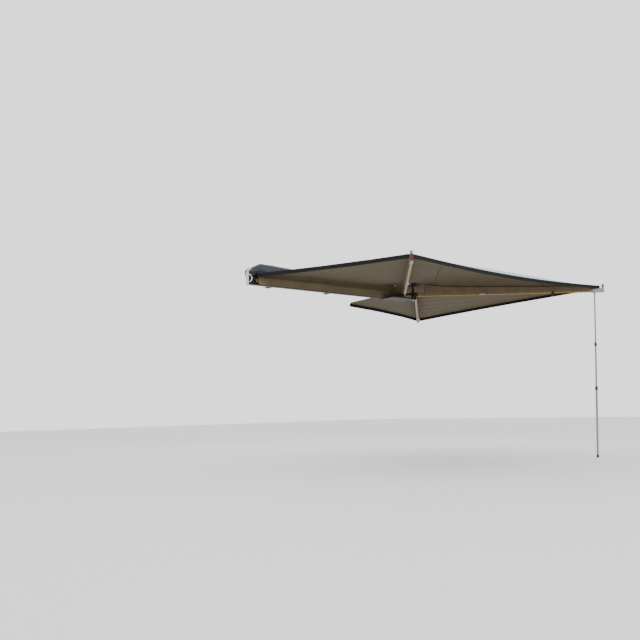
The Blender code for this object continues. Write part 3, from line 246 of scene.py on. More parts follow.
def place_camera():
    """Camera at the photograph's place, turned by yaw, pitch and roll."""
    yaw, pitch, roll = (math.radians(a) for a in (CAMERA_YAW, CAMERA_PITCH, CAMERA_ROLL))
    ahead = Vector((math.sin(yaw) * math.cos(pitch), math.cos(yaw) * math.cos(pitch), math.sin(pitch)))
    level = Vector((math.cos(yaw), -math.sin(yaw), 0.0))
    above = level.cross(ahead)
    right = level * math.cos(roll) + above * math.sin(roll)
    up = above * math.cos(roll) - level * math.sin(roll)
    camera = bpy.data.objects.new("photo_camera", bpy.data.cameras.new("photo_camera"))
    bpy.context.scene.collection.objects.link(camera)
    turn = Matrix((right, up, -ahead)).transposed().to_4x4()
    camera.matrix_world = Matrix.Translation(CAMERA_PLACE) @ turn
    camera.data.lens = CAMERA_LENS
    camera.data.sensor_width = CAMERA_SENSOR
    camera.data.shift_y = CAMERA_SHIFT
    camera.data.clip_end = FAR_CLIP
    bpy.context.scene.camera = camera


def add_light(name, place, aim, size, power, tint):
    """Soft square lamp at a place, turned to its aim."""
    lamp = bpy.data.lights.new(name, "AREA")
    lamp.size = size
    lamp.energy = power
    lamp.color = tint
    light = bpy.data.objects.new(name, lamp)
    bpy.context.scene.collection.objects.link(light)
    light.location = place
    light.rotation_euler = (Vector(aim) - Vector(place)).to_track_quat("-Z", "Y").to_euler()


def light_studio():
    """Even pale surroundings, a broad key light from over the camera and a weaker one behind."""
    world = bpy.data.worlds.new("studio")
    world.use_nodes = True
    backdrop = world.node_tree.nodes["Background"]
    backdrop.inputs["Color"].default_value = paint("#f6f7f8")
    backdrop.inputs["Strength"].default_value = WORLD_STRENGTH
    bpy.context.scene.world = world
    for name, facts in LAMPS.items():
        add_light(name, **facts)


def lay_floor():
    """Pale floor under the pole's foot."""
    bm = bmesh.new()
    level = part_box("pole_foot")[0].z
    bmesh.ops.create_grid(bm, x_segments=1, y_segments=1, size=FLOOR_SIZE / 2,
                          matrix=Matrix.Translation((0.0, 0.0, level)))
    floor = new_object("studio_floor", bm, [FINISHES["floor"]])


# Finishes


def paint(code):
    """Linear colour with alpha from an sRGB hex code."""
    channels = [int(code[k:k + 2], 16) / 255 for k in (1, 3, 5)]
    return [c / 12.92 if c <= 0.04045 else ((c + 0.055) / 1.055) ** 2.4 for c in channels] + [1.0]


def add_node(tree, kind, settings, inputs):
    """Add a node with its settings, and give each input a value or another node's output."""
    node = tree.nodes.new(kind)
    for name, value in settings.items():
        setattr(node, name, value)
    for socket, value in inputs.items():
        if isinstance(value, bpy.types.NodeSocket):
            tree.links.new(value, node.inputs[socket])
        else:
            node.inputs[socket].default_value = value
    return node


def start_material(name, roughness, metallic=0.0, **shader_values):
    """Material with its shader's plain values set; returns the material, its tree and its shader."""
    material = bpy.data.materials.new(name)
    material.use_nodes = True
    tree = material.node_tree
    shader = tree.nodes["Principled BSDF"]
    shader.inputs["Roughness"].default_value = roughness
    shader.inputs["Metallic"].default_value = metallic
    for socket, value in shader_values.items():
        shader.inputs[socket.replace("_", " ")].default_value = value
    return material, tree, shader


def bands(millimetres):
    """Scale of a wave texture whose bands repeat at a real distance."""
    return 2 * math.pi / 20 / (millimetres / 1000)


def grains(millimetres):
    """Scale of a noise texture whose grains have a real size."""
    return 1000 / millimetres


def coordinates(tree, source, turn=0.0, stretch=(1.0, 1.0, 1.0)):
    """The piece's own coordinates, turned about Z so that X runs along it, and stretched."""
    texture = add_node(tree, "ShaderNodeTexCoord", {}, {})
    turned = add_node(tree, "ShaderNodeMapping", {"vector_type": "POINT"},
                      {"Vector": texture.outputs[source], "Rotation": (0.0, 0.0, math.radians(turn))})
    scaled = add_node(tree, "ShaderNodeMapping", {"vector_type": "POINT"},
                      {"Vector": turned.outputs["Vector"], "Scale": stretch})
    return scaled.outputs["Vector"]


def mix_colours(tree, share, first, second):
    """Two colours mixed by the share of the second."""
    inputs = {"Fac": share, "Color1": first, "Color2": second}
    return add_node(tree, "ShaderNodeMixRGB", {}, inputs).outputs["Color"]


def combine(tree, operation, *values):
    """Result of one sum on numbers or other nodes' outputs."""
    return add_node(tree, "ShaderNodeMath", {"operation": operation}, dict(enumerate(values))).outputs[0]


def stripes(tree, place, direction, millimetres, **more):
    """Soft stripes along a direction of the coordinates, a real distance apart."""
    inputs = {"Vector": place, "Scale": bands(millimetres), **more}
    settings = {"bands_direction": direction, "wave_type": "BANDS"}
    return add_node(tree, "ShaderNodeTexWave", settings, inputs).outputs["Fac"]


def mottle(tree, place, grain, dark, light, detail=4.0):
    """Two colours mixed by soft noise, and the noise itself."""
    cloud = add_node(tree, "ShaderNodeTexNoise", {},
                     {"Vector": place, "Scale": grains(grain), "Detail": detail, "Roughness": 0.55})
    ramp = add_node(tree, "ShaderNodeMapRange", {},
                    {"Value": cloud.outputs["Fac"], "From Min": 0.34, "From Max": 0.66})
    return mix_colours(tree, ramp.outputs["Result"], paint(dark), paint(light)), ramp.outputs["Result"]


def vary_roughness(tree, shader, source, low, high):
    """Let the roughness run between two values with a source."""
    spread = add_node(tree, "ShaderNodeMapRange", {}, {"Value": source, "To Min": low, "To Max": high})
    tree.links.new(spread.outputs["Result"], shader.inputs["Roughness"])


def add_bump(tree, shader, height, depth, strength=0.6):
    """Bump the surface by a height, over a real depth in metres."""
    bump = add_node(tree, "ShaderNodeBump", {},
                    {"Height": height, "Distance": depth, "Strength": strength})
    tree.links.new(bump.outputs["Normal"], shader.inputs["Normal"])


def woven_weave(tree, place, thread):
    """Height of a plain weave: warp and weft ribs that take turns on top."""
    return combine(tree, "MULTIPLY", *(stripes(tree, place, way, thread) for way in ("X", "Y")))


def ripstop(name, dark, light, rib, roughness, sheen):
    """Ripstop polycotton, woven and proofed: thick threads draw a fine square grid on matt cloth.

    The squares are 12 mm, against about 8 mm on the real cloth, and the threads between them are
    2.4 mm apart, against 0.4 mm, so that both show at the distance of the camera.
    """
    material, tree, shader = start_material(name, roughness, Sheen_Weight=sheen, Sheen_Roughness=0.6)
    place = coordinates(tree, "UV")
    colour, cloud = mottle(tree, place, 260.0, dark, light)
    lines = [combine(tree, "POWER", stripes(tree, place, way, RIPSTOP_SQUARE), 14.0) for way in ("X", "Y")]
    squares = combine(tree, "MAXIMUM", *lines)
    ribbed = mix_colours(tree, combine(tree, "MULTIPLY", squares, 0.22), colour, paint(rib))
    tree.links.new(ribbed, shader.inputs["Base Color"])
    vary_roughness(tree, shader, cloud, roughness - 0.06, roughness + 0.05)
    weave = woven_weave(tree, place, RIPSTOP_THREAD)
    add_bump(tree, shader, combine(tree, "MULTIPLY_ADD", squares, 0.8, weave), 0.0003)
    return material


def webbing(name, dark, light, rib_mm, edge_lines, roughness=0.82, sheen=0.2, stitch_colour="#5b5a56"):
    """Woven polyester webbing: ribs across its run, and rows of stitches along its edges.

    The ribs are drawn two to three times as wide as real ones so that they show.
    """
    material, tree, shader = start_material(name, roughness, Sheen_Weight=sheen, Sheen_Roughness=0.5,
                                            Specular_IOR_Level=0.25)
    place = coordinates(tree, "UV")
    colour, cloud = mottle(tree, place, 60.0, dark, light)
    height = stripes(tree, place, "X", rib_mm, Distortion=0.4, Detail=1.0)
    if edge_lines:
        across = add_node(tree, "ShaderNodeSeparateXYZ", {}, {"Vector": place}).outputs["Y"]
        long_part = combine(tree, "GREATER_THAN", stripes(tree, place, "X", STITCH_SPACING), 0.25)
        for line in edge_lines:
            near = combine(tree, "COMPARE", across, line, STITCH_HALF)
            stitch = combine(tree, "MULTIPLY", near, long_part)
            colour = mix_colours(tree, stitch, colour, paint(stitch_colour))
            height = combine(tree, "MULTIPLY_ADD", stitch, 2.0, height)
    tree.links.new(colour, shader.inputs["Base Color"])
    vary_roughness(tree, shader, cloud, roughness - 0.08, roughness + 0.06)
    add_bump(tree, shader, height, 0.0004)
    return material


def coated_cloth(name, dark, light):
    """PVC coated polyester: a smooth film over a cloth, glossy, with fine creases and a mottled tone."""
    material, tree, shader = start_material(name, 0.34, Coat_Weight=0.25, Coat_Roughness=0.25,
                                            Specular_IOR_Level=0.35)
    place = coordinates(tree, "UV")
    colour, cloud = mottle(tree, place, 120.0, dark, light)
    tree.links.new(colour, shader.inputs["Base Color"])
    vary_roughness(tree, shader, cloud, 0.24, 0.42)
    crease = add_node(tree, "ShaderNodeTexNoise", {"noise_type": "RIDGED_MULTIFRACTAL"},
                      {"Vector": place, "Scale": grains(45.0), "Detail": 5.0, "Roughness": 0.5})
    add_bump(tree, shader, crease.outputs["Fac"], 0.0014, 0.5)
    return material


def drawn_metal(name, dark, light, roughness, turn=0.0, along="X", metallic=0.9):
    """Anodised aluminium drawn through a die: faint lines along the section under a satin film."""
    material, tree, shader = start_material(name, roughness, metallic)
    stretch = {"X": (0.02, 1.0, 1.0), "Z": (1.0, 1.0, 0.02)}[along]
    place = coordinates(tree, "Object", turn, stretch)
    colour, cloud = mottle(tree, place, 6.0, dark, light, 3.0)
    tree.links.new(colour, shader.inputs["Base Color"])
    vary_roughness(tree, shader, cloud, roughness - 0.05, roughness + 0.08)
    lines = add_node(tree, "ShaderNodeTexNoise", {},
                     {"Vector": place, "Scale": grains(1.6), "Detail": 2.0, "Roughness": 0.5})
    add_bump(tree, shader, lines.outputs["Fac"], 0.00012)
    return material


def grained(name, dark, light, roughness, grain, depth, metallic=0.0, **shader_values):
    """A finish with an even fine grain: cast, plated, powder coated, moulded or rubber surfaces."""
    material, tree, shader = start_material(name, roughness, metallic, **shader_values)
    place = coordinates(tree, "Object")
    colour, cloud = mottle(tree, place, 30.0, dark, light)
    tree.links.new(colour, shader.inputs["Base Color"])
    vary_roughness(tree, shader, cloud, roughness - 0.07, roughness + 0.07)
    peel = add_node(tree, "ShaderNodeTexNoise", {},
                    {"Vector": place, "Scale": grains(grain), "Detail": 3.0, "Roughness": 0.6})
    add_bump(tree, shader, peel.outputs["Fac"], depth)
    return material


def make_finishes():
    """Every finish of the object and of the floor."""
    edges = (0.017, HEM_LAP + HEM_FALL - 0.006)
    finishes = {
        # Painted shade: the khaki cloth of the underside and of the rail wall is set darker than its own
        # colour, for the shade under the canopy; the wall's copy is a little lighter.
        "under": ripstop("ripstop_khaki_underside_painted_shade", "#453b28", "#50462f", "#5d523a", 0.92, 0.0),
        "wall": ripstop("ripstop_khaki_wall_painted_shade", "#5d523c", "#6b5f47", "#7a6e54", 0.92, 0.0),
        "top": ripstop("ripstop_polycotton_blue_grey", "#98aabd", "#a9bacb", "#c4d0dc", 0.62, 0.08),
        # Painted shade: the seam's khaki is darkened with the underside's, and a little more.
        "seam": webbing("felled_ripstop_khaki_painted_shade", "#3a3222", "#453c2a", 2.4, (0.003, 0.013), 0.9, 0.0,
                        "#6a604a"),
        "hem": webbing("woven_polyester_webbing_black", "#0b0b0a", "#131210", 3.0, edges, 0.9, 0.0,
                       "#2c2b28"),
        "patch": webbing("woven_polyester_oxford_charcoal", "#1d1c1a", "#2a2825", 3.0, (), 0.9, 0.0),
        "patch_solid": grained("pressed_webbing_patch_black", "#171615", "#24221f", 0.82, 3.0, 0.0002),
        # Painted shade: the sleeves' brown is set dark for the shade under the canopy.
        "sleeve": webbing("woven_polyester_oxford_brown_painted_shade", "#5e513e", "#6c5e49", 4.0, (0.006, 0.012), 0.86,
                          0.1),
        "strap": webbing("woven_polyester_webbing_orange", "#432419", "#532f21", 3.0, (0.003, 0.015)),
        "red": webbing("woven_polyester_webbing_red", "#5c2f28", "#6c3a31", 3.0, ()),
        "cover": coated_cloth("pvc_coated_polyester_navy", "#0a1118", "#15202b"),
        "black": grained("powder_coated_steel_black", "#111111", "#1b1b1c", 0.56, 1.8, 0.00010,
                         Specular_IOR_Level=0.3),
        "bright": drawn_metal("brushed_sheet_aluminium", "#a5a9ad", "#c3c7ca", 0.36, 0.0, "Z", 0.9),
        "cast": grained("tumbled_cast_aluminium", "#6f7377", "#8d9195", 0.40, 2.4, 0.00012, 0.9),
        "pole": drawn_metal("drawn_anodised_tube_grey", "#6d7378", "#868c91", 0.36, 0.0, "Z", 0.8),
        "steel": grained("zinc_plated_steel", "#a7aaac", "#c6c8c9", 0.30, 1.6, 0.00006, 1.0),
        "nylon": grained("moulded_acetal_white", "#cfd0cc", "#e2e3df", 0.42, 2.0, 0.00005,
                         Subsurface_Weight=0.05, Subsurface_Scale=0.002),
        "plastic": grained("moulded_glass_filled_nylon_black", "#141415", "#202022", 0.48, 1.4, 0.00012),
        "rubber": grained("moulded_rubber_black", "#18181a", "#262628", 0.78, 2.2, 0.00015),
        "floor": grained("painted_studio_floor", "#d2d2d0", "#d9d9d7", 0.75, 40.0, 0.0004),
    }
    bearings = {number: arm["bearing"] for number, arm in ARMS.items()}
    for key, bearing in {**bearings, "rail": 0.0}.items():
        # The arms' tan is a painted reflection: plain aluminium tinted by the warm light under the canopy.
        name = "extruded_anodised_champagne_%s" % key
        finishes["arm_%s" % key] = drawn_metal(name, "#7a5f2e", "#8c7038", 0.42, -bearing, "X", 0.95)
    return finishes


NODE_FINISHES = {
    "black": ("backing_rail", "rack_bracket_front", "rack_bracket_middle", "rack_bracket_rear",
              # tip_fitting_4 is black as painted shade: the fourth tip lies in the canopy's shade, where
              # the other tip fittings are cast aluminium.
              "hub_bracket", "knuckle_2", "knuckle_3", "knuckle_4", "hub_post", "tip_fitting_4"),
    "arm_rail": ("rail_arm",),
    "arm_2": ("arm_tube_2",),
    "arm_3": ("arm_tube_3",),
    "arm_4": ("arm_tube_4",),
    "bright": ("end_plate", "hanging_bar"),
    "cast": ("tip_fitting_2", "tip_fitting_3", "tip_knob_2", "tip_knob_3", "pole_eye"),
    "pole": ("pole_upper", "pole_mid", "pole_lower"),
    "steel": ("king_pin", "pin_nut", "root_bolt_2", "root_bolt_3", "root_bolt_4", "pole_pin"),
    "nylon": ("thrust_washer_1", "thrust_washer_2", "thrust_washer_3", "thrust_washer_4",
              "bush_2", "bush_3", "bush_4", "pull_loop"),
    "plastic": ("hub_crown", "bar_post_inner", "bar_post_outer", "pole_clip", "collar_upper",
                # tip_knob_4 is black as painted shade for the same reason; the other knobs are cast
                # aluminium.
                "collar_lower", "tip_knob_4"),
    "rubber": ("pole_foot",),
}


def finish_nodes():
    """Give every solid that shows its finish."""
    for finish, names in NODE_FINISHES.items():
        for name in names:
            node = frame["nodes"][name]
            node.data.materials.clear()
            node.data.materials.append(FINISHES[finish])


# Mesh helpers


def new_object(name, bm, materials, smooth_angle=40.0):
    """A finished mesh as an object at the origin."""
    mesh = bpy.data.meshes.new(name)
    bm.to_mesh(mesh)
    bm.free()
    for material in materials:
        mesh.materials.append(material)
    mesh.shade_smooth()
    mesh.set_sharp_from_angle(angle=math.radians(smooth_angle))
    obj = bpy.data.objects.new(name, mesh)
    bpy.context.scene.collection.objects.link(obj)
    return obj


def cloth_grid(place, across, along, facing, plan):
    """A grid laid over place(u, v), with its faces turned to facing.

    plan(u, v) gives a point's place on the cloth's cut, in metres, as UV. The grid keeps u as each
    point's share across.
    """
    bm = bmesh.new()
    bmesh.ops.create_grid(bm, x_segments=across, y_segments=along, size=0.5)
    cut = bm.loops.layers.uv.new("cut")
    share = bm.verts.layers.float.new("share")
    flat = {}
    for vert in bm.verts:
        u, v = vert.co.x + 0.5, vert.co.y + 0.5
        flat[vert] = plan(u, v)
        vert[share] = u
        vert.co = place(u, v)
    for face in bm.faces:
        for loop in face.loops:
            loop[cut].uv = flat[loop.vert]
    bm.normal_update()
    if sum((face.normal for face in bm.faces), Vector()).dot(Vector(facing)) < 0:
        bmesh.ops.reverse_faces(bm, faces=bm.faces)
    return bm


def thicken(obj, thickness, offset=0.0, second=0):
    """Give a sheet its thickness; the side away from its faces takes the second material."""
    solid = obj.modifiers.new("thickness", "SOLIDIFY")
    solid.thickness = thickness
    solid.offset = offset
    solid.use_even_offset = True
    solid.material_offset = second
    solid.material_offset_rim = second
    settle(obj)


def settle(obj):
    """Apply the modifiers, so that the mesh is final."""
    view = bpy.context.evaluated_depsgraph_get()
    final = bpy.data.meshes.new_from_object(obj.evaluated_get(view))
    obj.modifiers.clear()
    obj.data = final


def drop_share(obj):
    """Take the share across off a piece that doesn't turn with two bodies."""
    obj.data.attributes.remove(obj.data.attributes["share"])


def cloth_piece(name, bm, finish, thickness):
    """A piece of cloth that will ride on one body, and the area of its one layer."""
    piece = new_object(name, bm, [FINISHES[finish]])
    drop_share(piece)
    area = sum(face.area for face in piece.data.polygons)
    thicken(piece, thickness)
    return piece, area


def extrude(outline, depth, bevel=0.0):
    """A plate from a flat outline, with its rims eased if asked."""
    bm = bmesh.new()
    face = bm.faces.new([bm.verts.new(p) for p in outline])
    grown = bmesh.ops.extrude_face_region(bm, geom=[face])
    verts = [g for g in grown["geom"] if isinstance(g, bmesh.types.BMVert)]
    bmesh.ops.translate(bm, verts=verts, vec=Vector(depth))
    if bevel:
        rims = [e for e in bm.edges if e.calc_face_angle(0.0) > math.radians(60)]
        bmesh.ops.bevel(bm, geom=rims, offset=bevel, segments=2, affect="EDGES", profile=0.5,
                        material=-1)
    bmesh.ops.recalc_face_normals(bm, faces=bm.faces)
    return bm


def turned(profile, steps=32):
    """Spin a loop of (radius, height) points about Z."""
    bm = bmesh.new()
    points = [bm.verts.new((radius, 0.0, height)) for radius, height in profile]
    edges = [bm.edges.new((a, b)) for a, b in zip(points, points[1:] + points[:1])]
    bmesh.ops.spin(bm, geom=points + edges, cent=(0, 0, 0), axis=(0, 0, 1), dvec=(0, 0, 0),
                   angle=2 * math.pi, steps=steps, use_merge=True, use_duplicate=False)
    bmesh.ops.remove_doubles(bm, verts=bm.verts, dist=1e-6)
    bmesh.ops.dissolve_degenerate(bm, edges=bm.edges, dist=1e-7)
    bmesh.ops.recalc_face_normals(bm, faces=bm.faces)
    return bm


def arc(centre, radius, start, end, steps):
    """Points on an arc, angles in degrees."""
    turns = [math.radians(start + (end - start) * k / steps) for k in range(steps + 1)]
    return [(centre[0] + radius * math.cos(t), centre[1] + radius * math.sin(t)) for t in turns]


def arm_matrix(number):
    """From an arm's own frame, X along the arm, to the row frame, with the droop of the fourth."""
    arm = ARMS[number]
    root = Vector((ARM_START, -arm["offset"], (ARM_BOTTOM + ARM_TOP) / 2))
    tilt = Matrix.Rotation(math.asin(arm["drop"] / ARM_REACH), 4, "Y")
    beam = Matrix.Translation(root) @ tilt @ Matrix.Translation(-root)
    return Matrix.Translation(PIN) @ Matrix.Rotation(math.radians(arm["bearing"]), 4, "Z") @ beam


# Canopy: the same form as the solids, with its small folds


def canopy_line(key, share):
    """Point of the canopy's fold over an arm, from the hub (0) to the tip (1)."""
    line = LINES[key]
    along = line["reach"] * share
    angle = math.radians(line["bearing"])
    forward = Vector((math.cos(angle), math.sin(angle), 0.0))
    right = Vector((math.sin(angle), -math.cos(angle), 0.0))
    away = math.hypot(along, PEAK_ROUND) - PEAK_ROUND
    place = forward * along + right * line["offset"] * smoothstep(along / line["ramp"])
    place.z = line["root"] + (line["tip"] - line["root"]) * share ** line["power"]
    place.z += (CANOPY_PEAK - line["root"]) * math.exp(-away / PEAK_SPREAD)
    return place


def bulge(panel, across):
    """Share of a panel's bow and swell, nothing at its folds and leaning to the second one."""
    return 4 * across * (1 - across) * (1 + PANELS[panel]["lean"] * (2 * across - 1))


def hem_point(panel, across):
    """Point on a panel's outer edge, bowed in towards the hub between the tips."""
    first, second = PANELS[panel]["lines"]
    start = canopy_line(first, 1.0)
    end = canopy_line(second, 1.0)
    chord = end - start
    inward = Vector((chord.y, -chord.x, 0.0)).normalized()
    if inward.dot(start + end) > 0:
        inward = -inward
    return start + chord * across + inward * PANELS[panel]["bow"] * bulge(panel, across)


def canopy_point(panel, across, out):
    """Point on a panel: across from one arm to the next, out from the hub to the hem."""
    first, second = PANELS[panel]["lines"]
    peak = Vector((0.0, 0.0, CANOPY_PEAK))
    place = peak.lerp(hem_point(panel, across), out)
    place += (1 - across) * (canopy_line(first, out) - peak.lerp(hem_point(panel, 0.0), out))
    place += across * (canopy_line(second, out) - peak.lerp(hem_point(panel, 1.0), out))
    swell = out ** PANELS[panel]["near_hub"] * (1 - out ** PANELS[panel]["near_hem"])
    place.z += PANELS[panel]["swell"] * bulge(panel, across) * swell
    return place


def corner_trim(panel):
    """Share of a hem cut off at each end, so that it clears the arm's tip."""
    shares = []
    for key, end, inside in zip(PANELS[panel]["lines"], (0.0, 1.0), (0.05, 0.95)):
        tip = canopy_line(key, 1.0)
        along = tip - canopy_line(key, 0.9)
        reach = hem_point(panel, inside) - tip
        aside = abs(along.x * reach.y - along.y * reach.x) / along.to_2d().length
        shares.append(abs(inside - end) * CORNER_CLEAR / aside)
    return max(shares)


def small_folds(panel, across, out, place):
    """Height of the slack in the cloth: soft waves, pulls at the tips and gathers at the hub."""
    free = 4 * across * (1 - across)
    slack = noise.noise(Vector((place.x * 2.6, place.y * 2.6, 3.1))) * SLACK_BROAD
    slack += noise.noise(Vector((place.x * 7.0, place.y * 7.0, 8.4))) * SLACK_FINE
    height = slack * free * smoothstep(out * 2.2)
    gather = math.exp(-((out - 0.16) / 0.10) ** 2)
    height += HUB_GATHER * gather * math.sin(across * 38.0) * free
    for end in (0.0, 1.0):
        beside = abs(across - end)
        pull = math.exp(-beside / 0.16) * math.exp(-(1 - out) / 0.22)
        spoke = math.atan2(1 - out, beside + 0.02)
        height += TIP_PULL * pull * math.sin(spoke * 13.0) * smoothstep(beside / 0.04)
    if panel == "c":
        slant = (place.x * 0.80 + place.y * 0.60) * 21.0
        near = math.exp(-(1 - across) / 0.26) * smoothstep((1 - across) / 0.05)
        height += SLANT_FOLD * near * math.sin(slant + 2.0 * out) * smoothstep(out * 1.6)
    return height


def panel_point(panel, u, out, lift=0.0):
    """Finished place on a panel in the hub's frame, u from one side edge to the other."""
    trim = corner_trim(panel) * smoothstep(1 - (1 - out) * CANOPY_REACH / NOTCH_LENGTH)
    across = trim + (1 - 2 * trim) * u
    place = canopy_point(panel, across, out)
    beside = canopy_point(panel, min(max(across, 0.02), 0.98), out) - place
    beside.z = 0.0
    if beside.length > 0:
        place += beside.normalized() * SEAM_HALF
    place.z += small_folds(panel, across, out, place) * (1 - out ** 10) + lift
    return place


def on_panel(panel, obj):
    """Tie a piece of a panel to its arm when it has one only; with two arms, bake it in place and take off
    each point's share across, leaving it tied to neither.
    """
    first, second = PANELS[panel]["bodies"]
    if second is None:
        middle = PIN + canopy_line(PANELS[panel]["lines"][0], 0.5)
        drop_share(obj)
        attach(obj, first)
        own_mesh(obj)
        return
    start = PIN + canopy_line(PANELS[panel]["lines"][0], 0.5)
    end = PIN + canopy_line(PANELS[panel]["lines"][1], 0.5)
    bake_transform(obj)
    shares = [value.value for value in obj.data.attributes["share"].data]
    drop_share(obj)


def panel_sheet(name, panel, outs, grid, lift, materials, thickness):
    """A layer of a panel between two distances out, as cloth of one thickness."""
    inner, outer = outs

    def place(u, v):
        out = inner + (outer - inner) * v ** 1.4
        return PIN + panel_point(panel, u, out, lift)

    def plan(u, v):
        spot = place(u, v)
        return (spot.x, spot.y)

    bm = cloth_grid(place, grid[0], grid[1], (0.0, 0.0, 1.0), plan)
    obj = new_object(name, bm, materials)
    thicken(obj, thickness, 0.0, len(materials) - 1)
    return obj


def hem_tape(panel):
    """Black webbing over the panel's edge: a lap on the top side, and a flap turned down."""
    run = HEM_LAP + HEM_FALL
    length = (hem_point(panel, 1.0) - hem_point(panel, 0.0)).length
    first, last = PANELS[panel]["hem"]

    def place(u, v):
        down = v * run
        if down < HEM_LAP:
            out = 1 - (HEM_LAP - down) / CANOPY_REACH
            return PIN + panel_point(panel, u, out, (CLOTH + HEM_CLOTH) / 2 + 0.0002)
        edge = panel_point(panel, u, 1.0)
        outward = edge - panel_point(panel, u, 0.99)
        outward.z = 0.0
        share = (down - HEM_LAP) / HEM_FALL
        wave = HEM_WAVE * math.sin(u * length * 9.0) * share
        edge += outward.normalized() * ((CLOTH + HEM_CLOTH) / 2 + wave)
        edge.z += (CLOTH + HEM_CLOTH) / 2 - (first + (last - first) * u) * share
        return PIN + edge

    def plan(u, v):
        return (u * length, v * run)

    bm = cloth_grid(place, 120, 18, (0.0, 0.0, 1.0), plan)
    obj = new_object("canopy_hem_" + panel, bm, [FINISHES["hem"]])
    thicken(obj, HEM_CLOTH)
    return obj


def make_canopy():
    """Four panels of two-sided cloth, each with its hem and its share of the hub's reinforcement."""
    inner = HUB_HOLE / CANOPY_REACH
    for panel, facts in PANELS.items():
        cloth = panel_sheet("canopy_cloth_" + panel, panel, (inner, 1.0), facts["grid"], 0.0,
                            [FINISHES["top"], FINISHES["under"]], CLOTH)
        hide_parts("canopy_panel_" + panel)
        lift = (CLOTH + PATCH_CLOTH) / 2 + 0.0003
        patch = panel_sheet("hub_reinforcement_" + panel, panel, (inner, PATCH_OUT), (24, 16), lift,
                            [FINISHES["patch"]], PATCH_CLOTH)
        hem = hem_tape(panel)
        start, end = hem_point(panel, 0.0), hem_point(panel, 1.0)
        width = (end - start).length
        height = start.cross(end).length / width
        for piece in (cloth, patch, hem):
            on_panel(panel, piece)


def find_on_panel(panel, spot):
    """Shares across and out at which a panel passes over a place in plan."""
    across, out, step = 0.5, 0.5, 1e-4
    for _ in range(14):
        here = canopy_point(panel, across, out)
        over = (canopy_point(panel, across + step, out) - here) / step
        ahead = (canopy_point(panel, across, out + step) - here) / step
        miss = spot - here
        area = over.x * ahead.y - over.y * ahead.x
        across = min(max(across + (miss.x * ahead.y - miss.y * ahead.x) / area, 0.0), 1.0)
        out = min(max(out + (over.x * miss.y - over.y * miss.x) / area, 0.02), 1.0)
    return across, out


def felled_seam():
    """Flat felled seam under the second panel, from the third arm to the hem, beside the second arm.

    Each point is given its share across the panel.
    """
    angle = math.radians(ARMS[2]["bearing"])
    ahead = Vector((math.cos(angle), math.sin(angle), 0.0))
    aside = Vector((-ahead.y, ahead.x, 0.0))
    start = canopy_line(3, SEAM_START / CANOPY_REACH) + ahead * 0.03
    length = CANOPY_REACH
    while find_on_panel("b", start + ahead * length)[1] > 0.985:
        length -= 0.01
    shares = []

    def place(u, v):
        across, out = find_on_panel("b", start + ahead * length * v + aside * SEAM_WIDTH * (u - 0.5))
        shares.append(across)
        return PIN + panel_point("b", across, out, -CLOTH / 2 - 0.0006)

    def plan(u, v):
        return (v * length, u * SEAM_WIDTH)

    bm = cloth_grid(place, 4, 110, (0.0, 0.0, -1.0), plan)
    seam = new_object("felled_seam_b", bm, [FINISHES["seam"]])
    seam.data.attributes["share"].data.foreach_set("value", shares)
    thicken(seam, SEAM_CLOTH)
    on_panel("b", seam)


def seam_tape(number):
    """Strip of proofed cloth that covers the joint of two panels over an arm."""
    names = {2: ("a", "b"), 3: ("b", "c"), 4: ("c", "d")}[number]

    def place(u, v):
        out = PATCH_OUT + (TAPE_END - PATCH_OUT) * v
        side = (u - 0.5) * 2 * TAPE_HALF
        panel = names[0] if side < 0 else names[1]
        first, second = (canopy_line(key, out) for key in PANELS[panel]["lines"])
        aside = abs(side) / (second - first).length
        across = 1 - aside if side < 0 else aside
        return PIN + canopy_point(panel, across, out) + Vector((0.0, 0.0, TAPE_LIFT))

    def plan(u, v):
        return (u * 2 * TAPE_HALF, v * CANOPY_REACH)

    bm = cloth_grid(place, 8, 90, (0.0, 0.0, 1.0), plan)
    tape, _ = cloth_piece("seam_tape_%d" % number, bm, "top", TAPE_CLOTH)
    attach(tape, "arm_%d" % number)


# Cloth on the arms and the rail


def arm_sleeve(number):
    """Cloth channel that ties the canopy to the arm, over the tube and down both of its sides."""
    arm = ARMS[number]
    start, bottom = arm["sleeve"]
    length = SLEEVE_END - start
    corner = SLEEVE_CORNER

    def section(x):
        line = canopy_line(number, x / CANOPY_REACH)
        ease = SLEEVE_EASE * (1 - smoothstep(x / ARM_RAMP))
        roof = line.z + arm["drop"] * (x - ARM_START) / ARM_REACH - 3 * CLOTH - ease
        side = roof - corner
        points = [(-SLEEVE_HALF, bottom + (side - bottom) * k / 6) for k in range(6)]
        points += arc((-SLEEVE_HALF + corner, side), corner, 180, 90, 4)
        points += arc((SLEEVE_HALF - corner, side), corner, 90, 0, 4)
        points += [(SLEEVE_HALF, side + (bottom - side) * k / 6) for k in range(1, 7)]
        return points

    count = len(section(1.0))
    to_row = arm_matrix(number)

    def place(u, v):
        x = start + length * u
        y, z = section(x)[round(v * (count - 1))]
        puff = noise.noise(Vector((x * 9.0, z * 30.0, number))) * 0.0007
        side = 1 if y > 0 else -1
        return to_row @ Vector((x, y - arm["offset"] + side * max(puff, -0.0004), z))

    def plan(u, v):
        return (start + length * u, v * 0.14)

    bm = cloth_grid(place, 120, count - 1, (0.0, 0.0, 1.0), plan)
    sleeve, area = cloth_piece("arm_sleeve_cloth_%d" % number, bm, "sleeve", CLOTH)
    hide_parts("arm_sleeve_%d" % number)
    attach(sleeve, "arm_%d" % number)


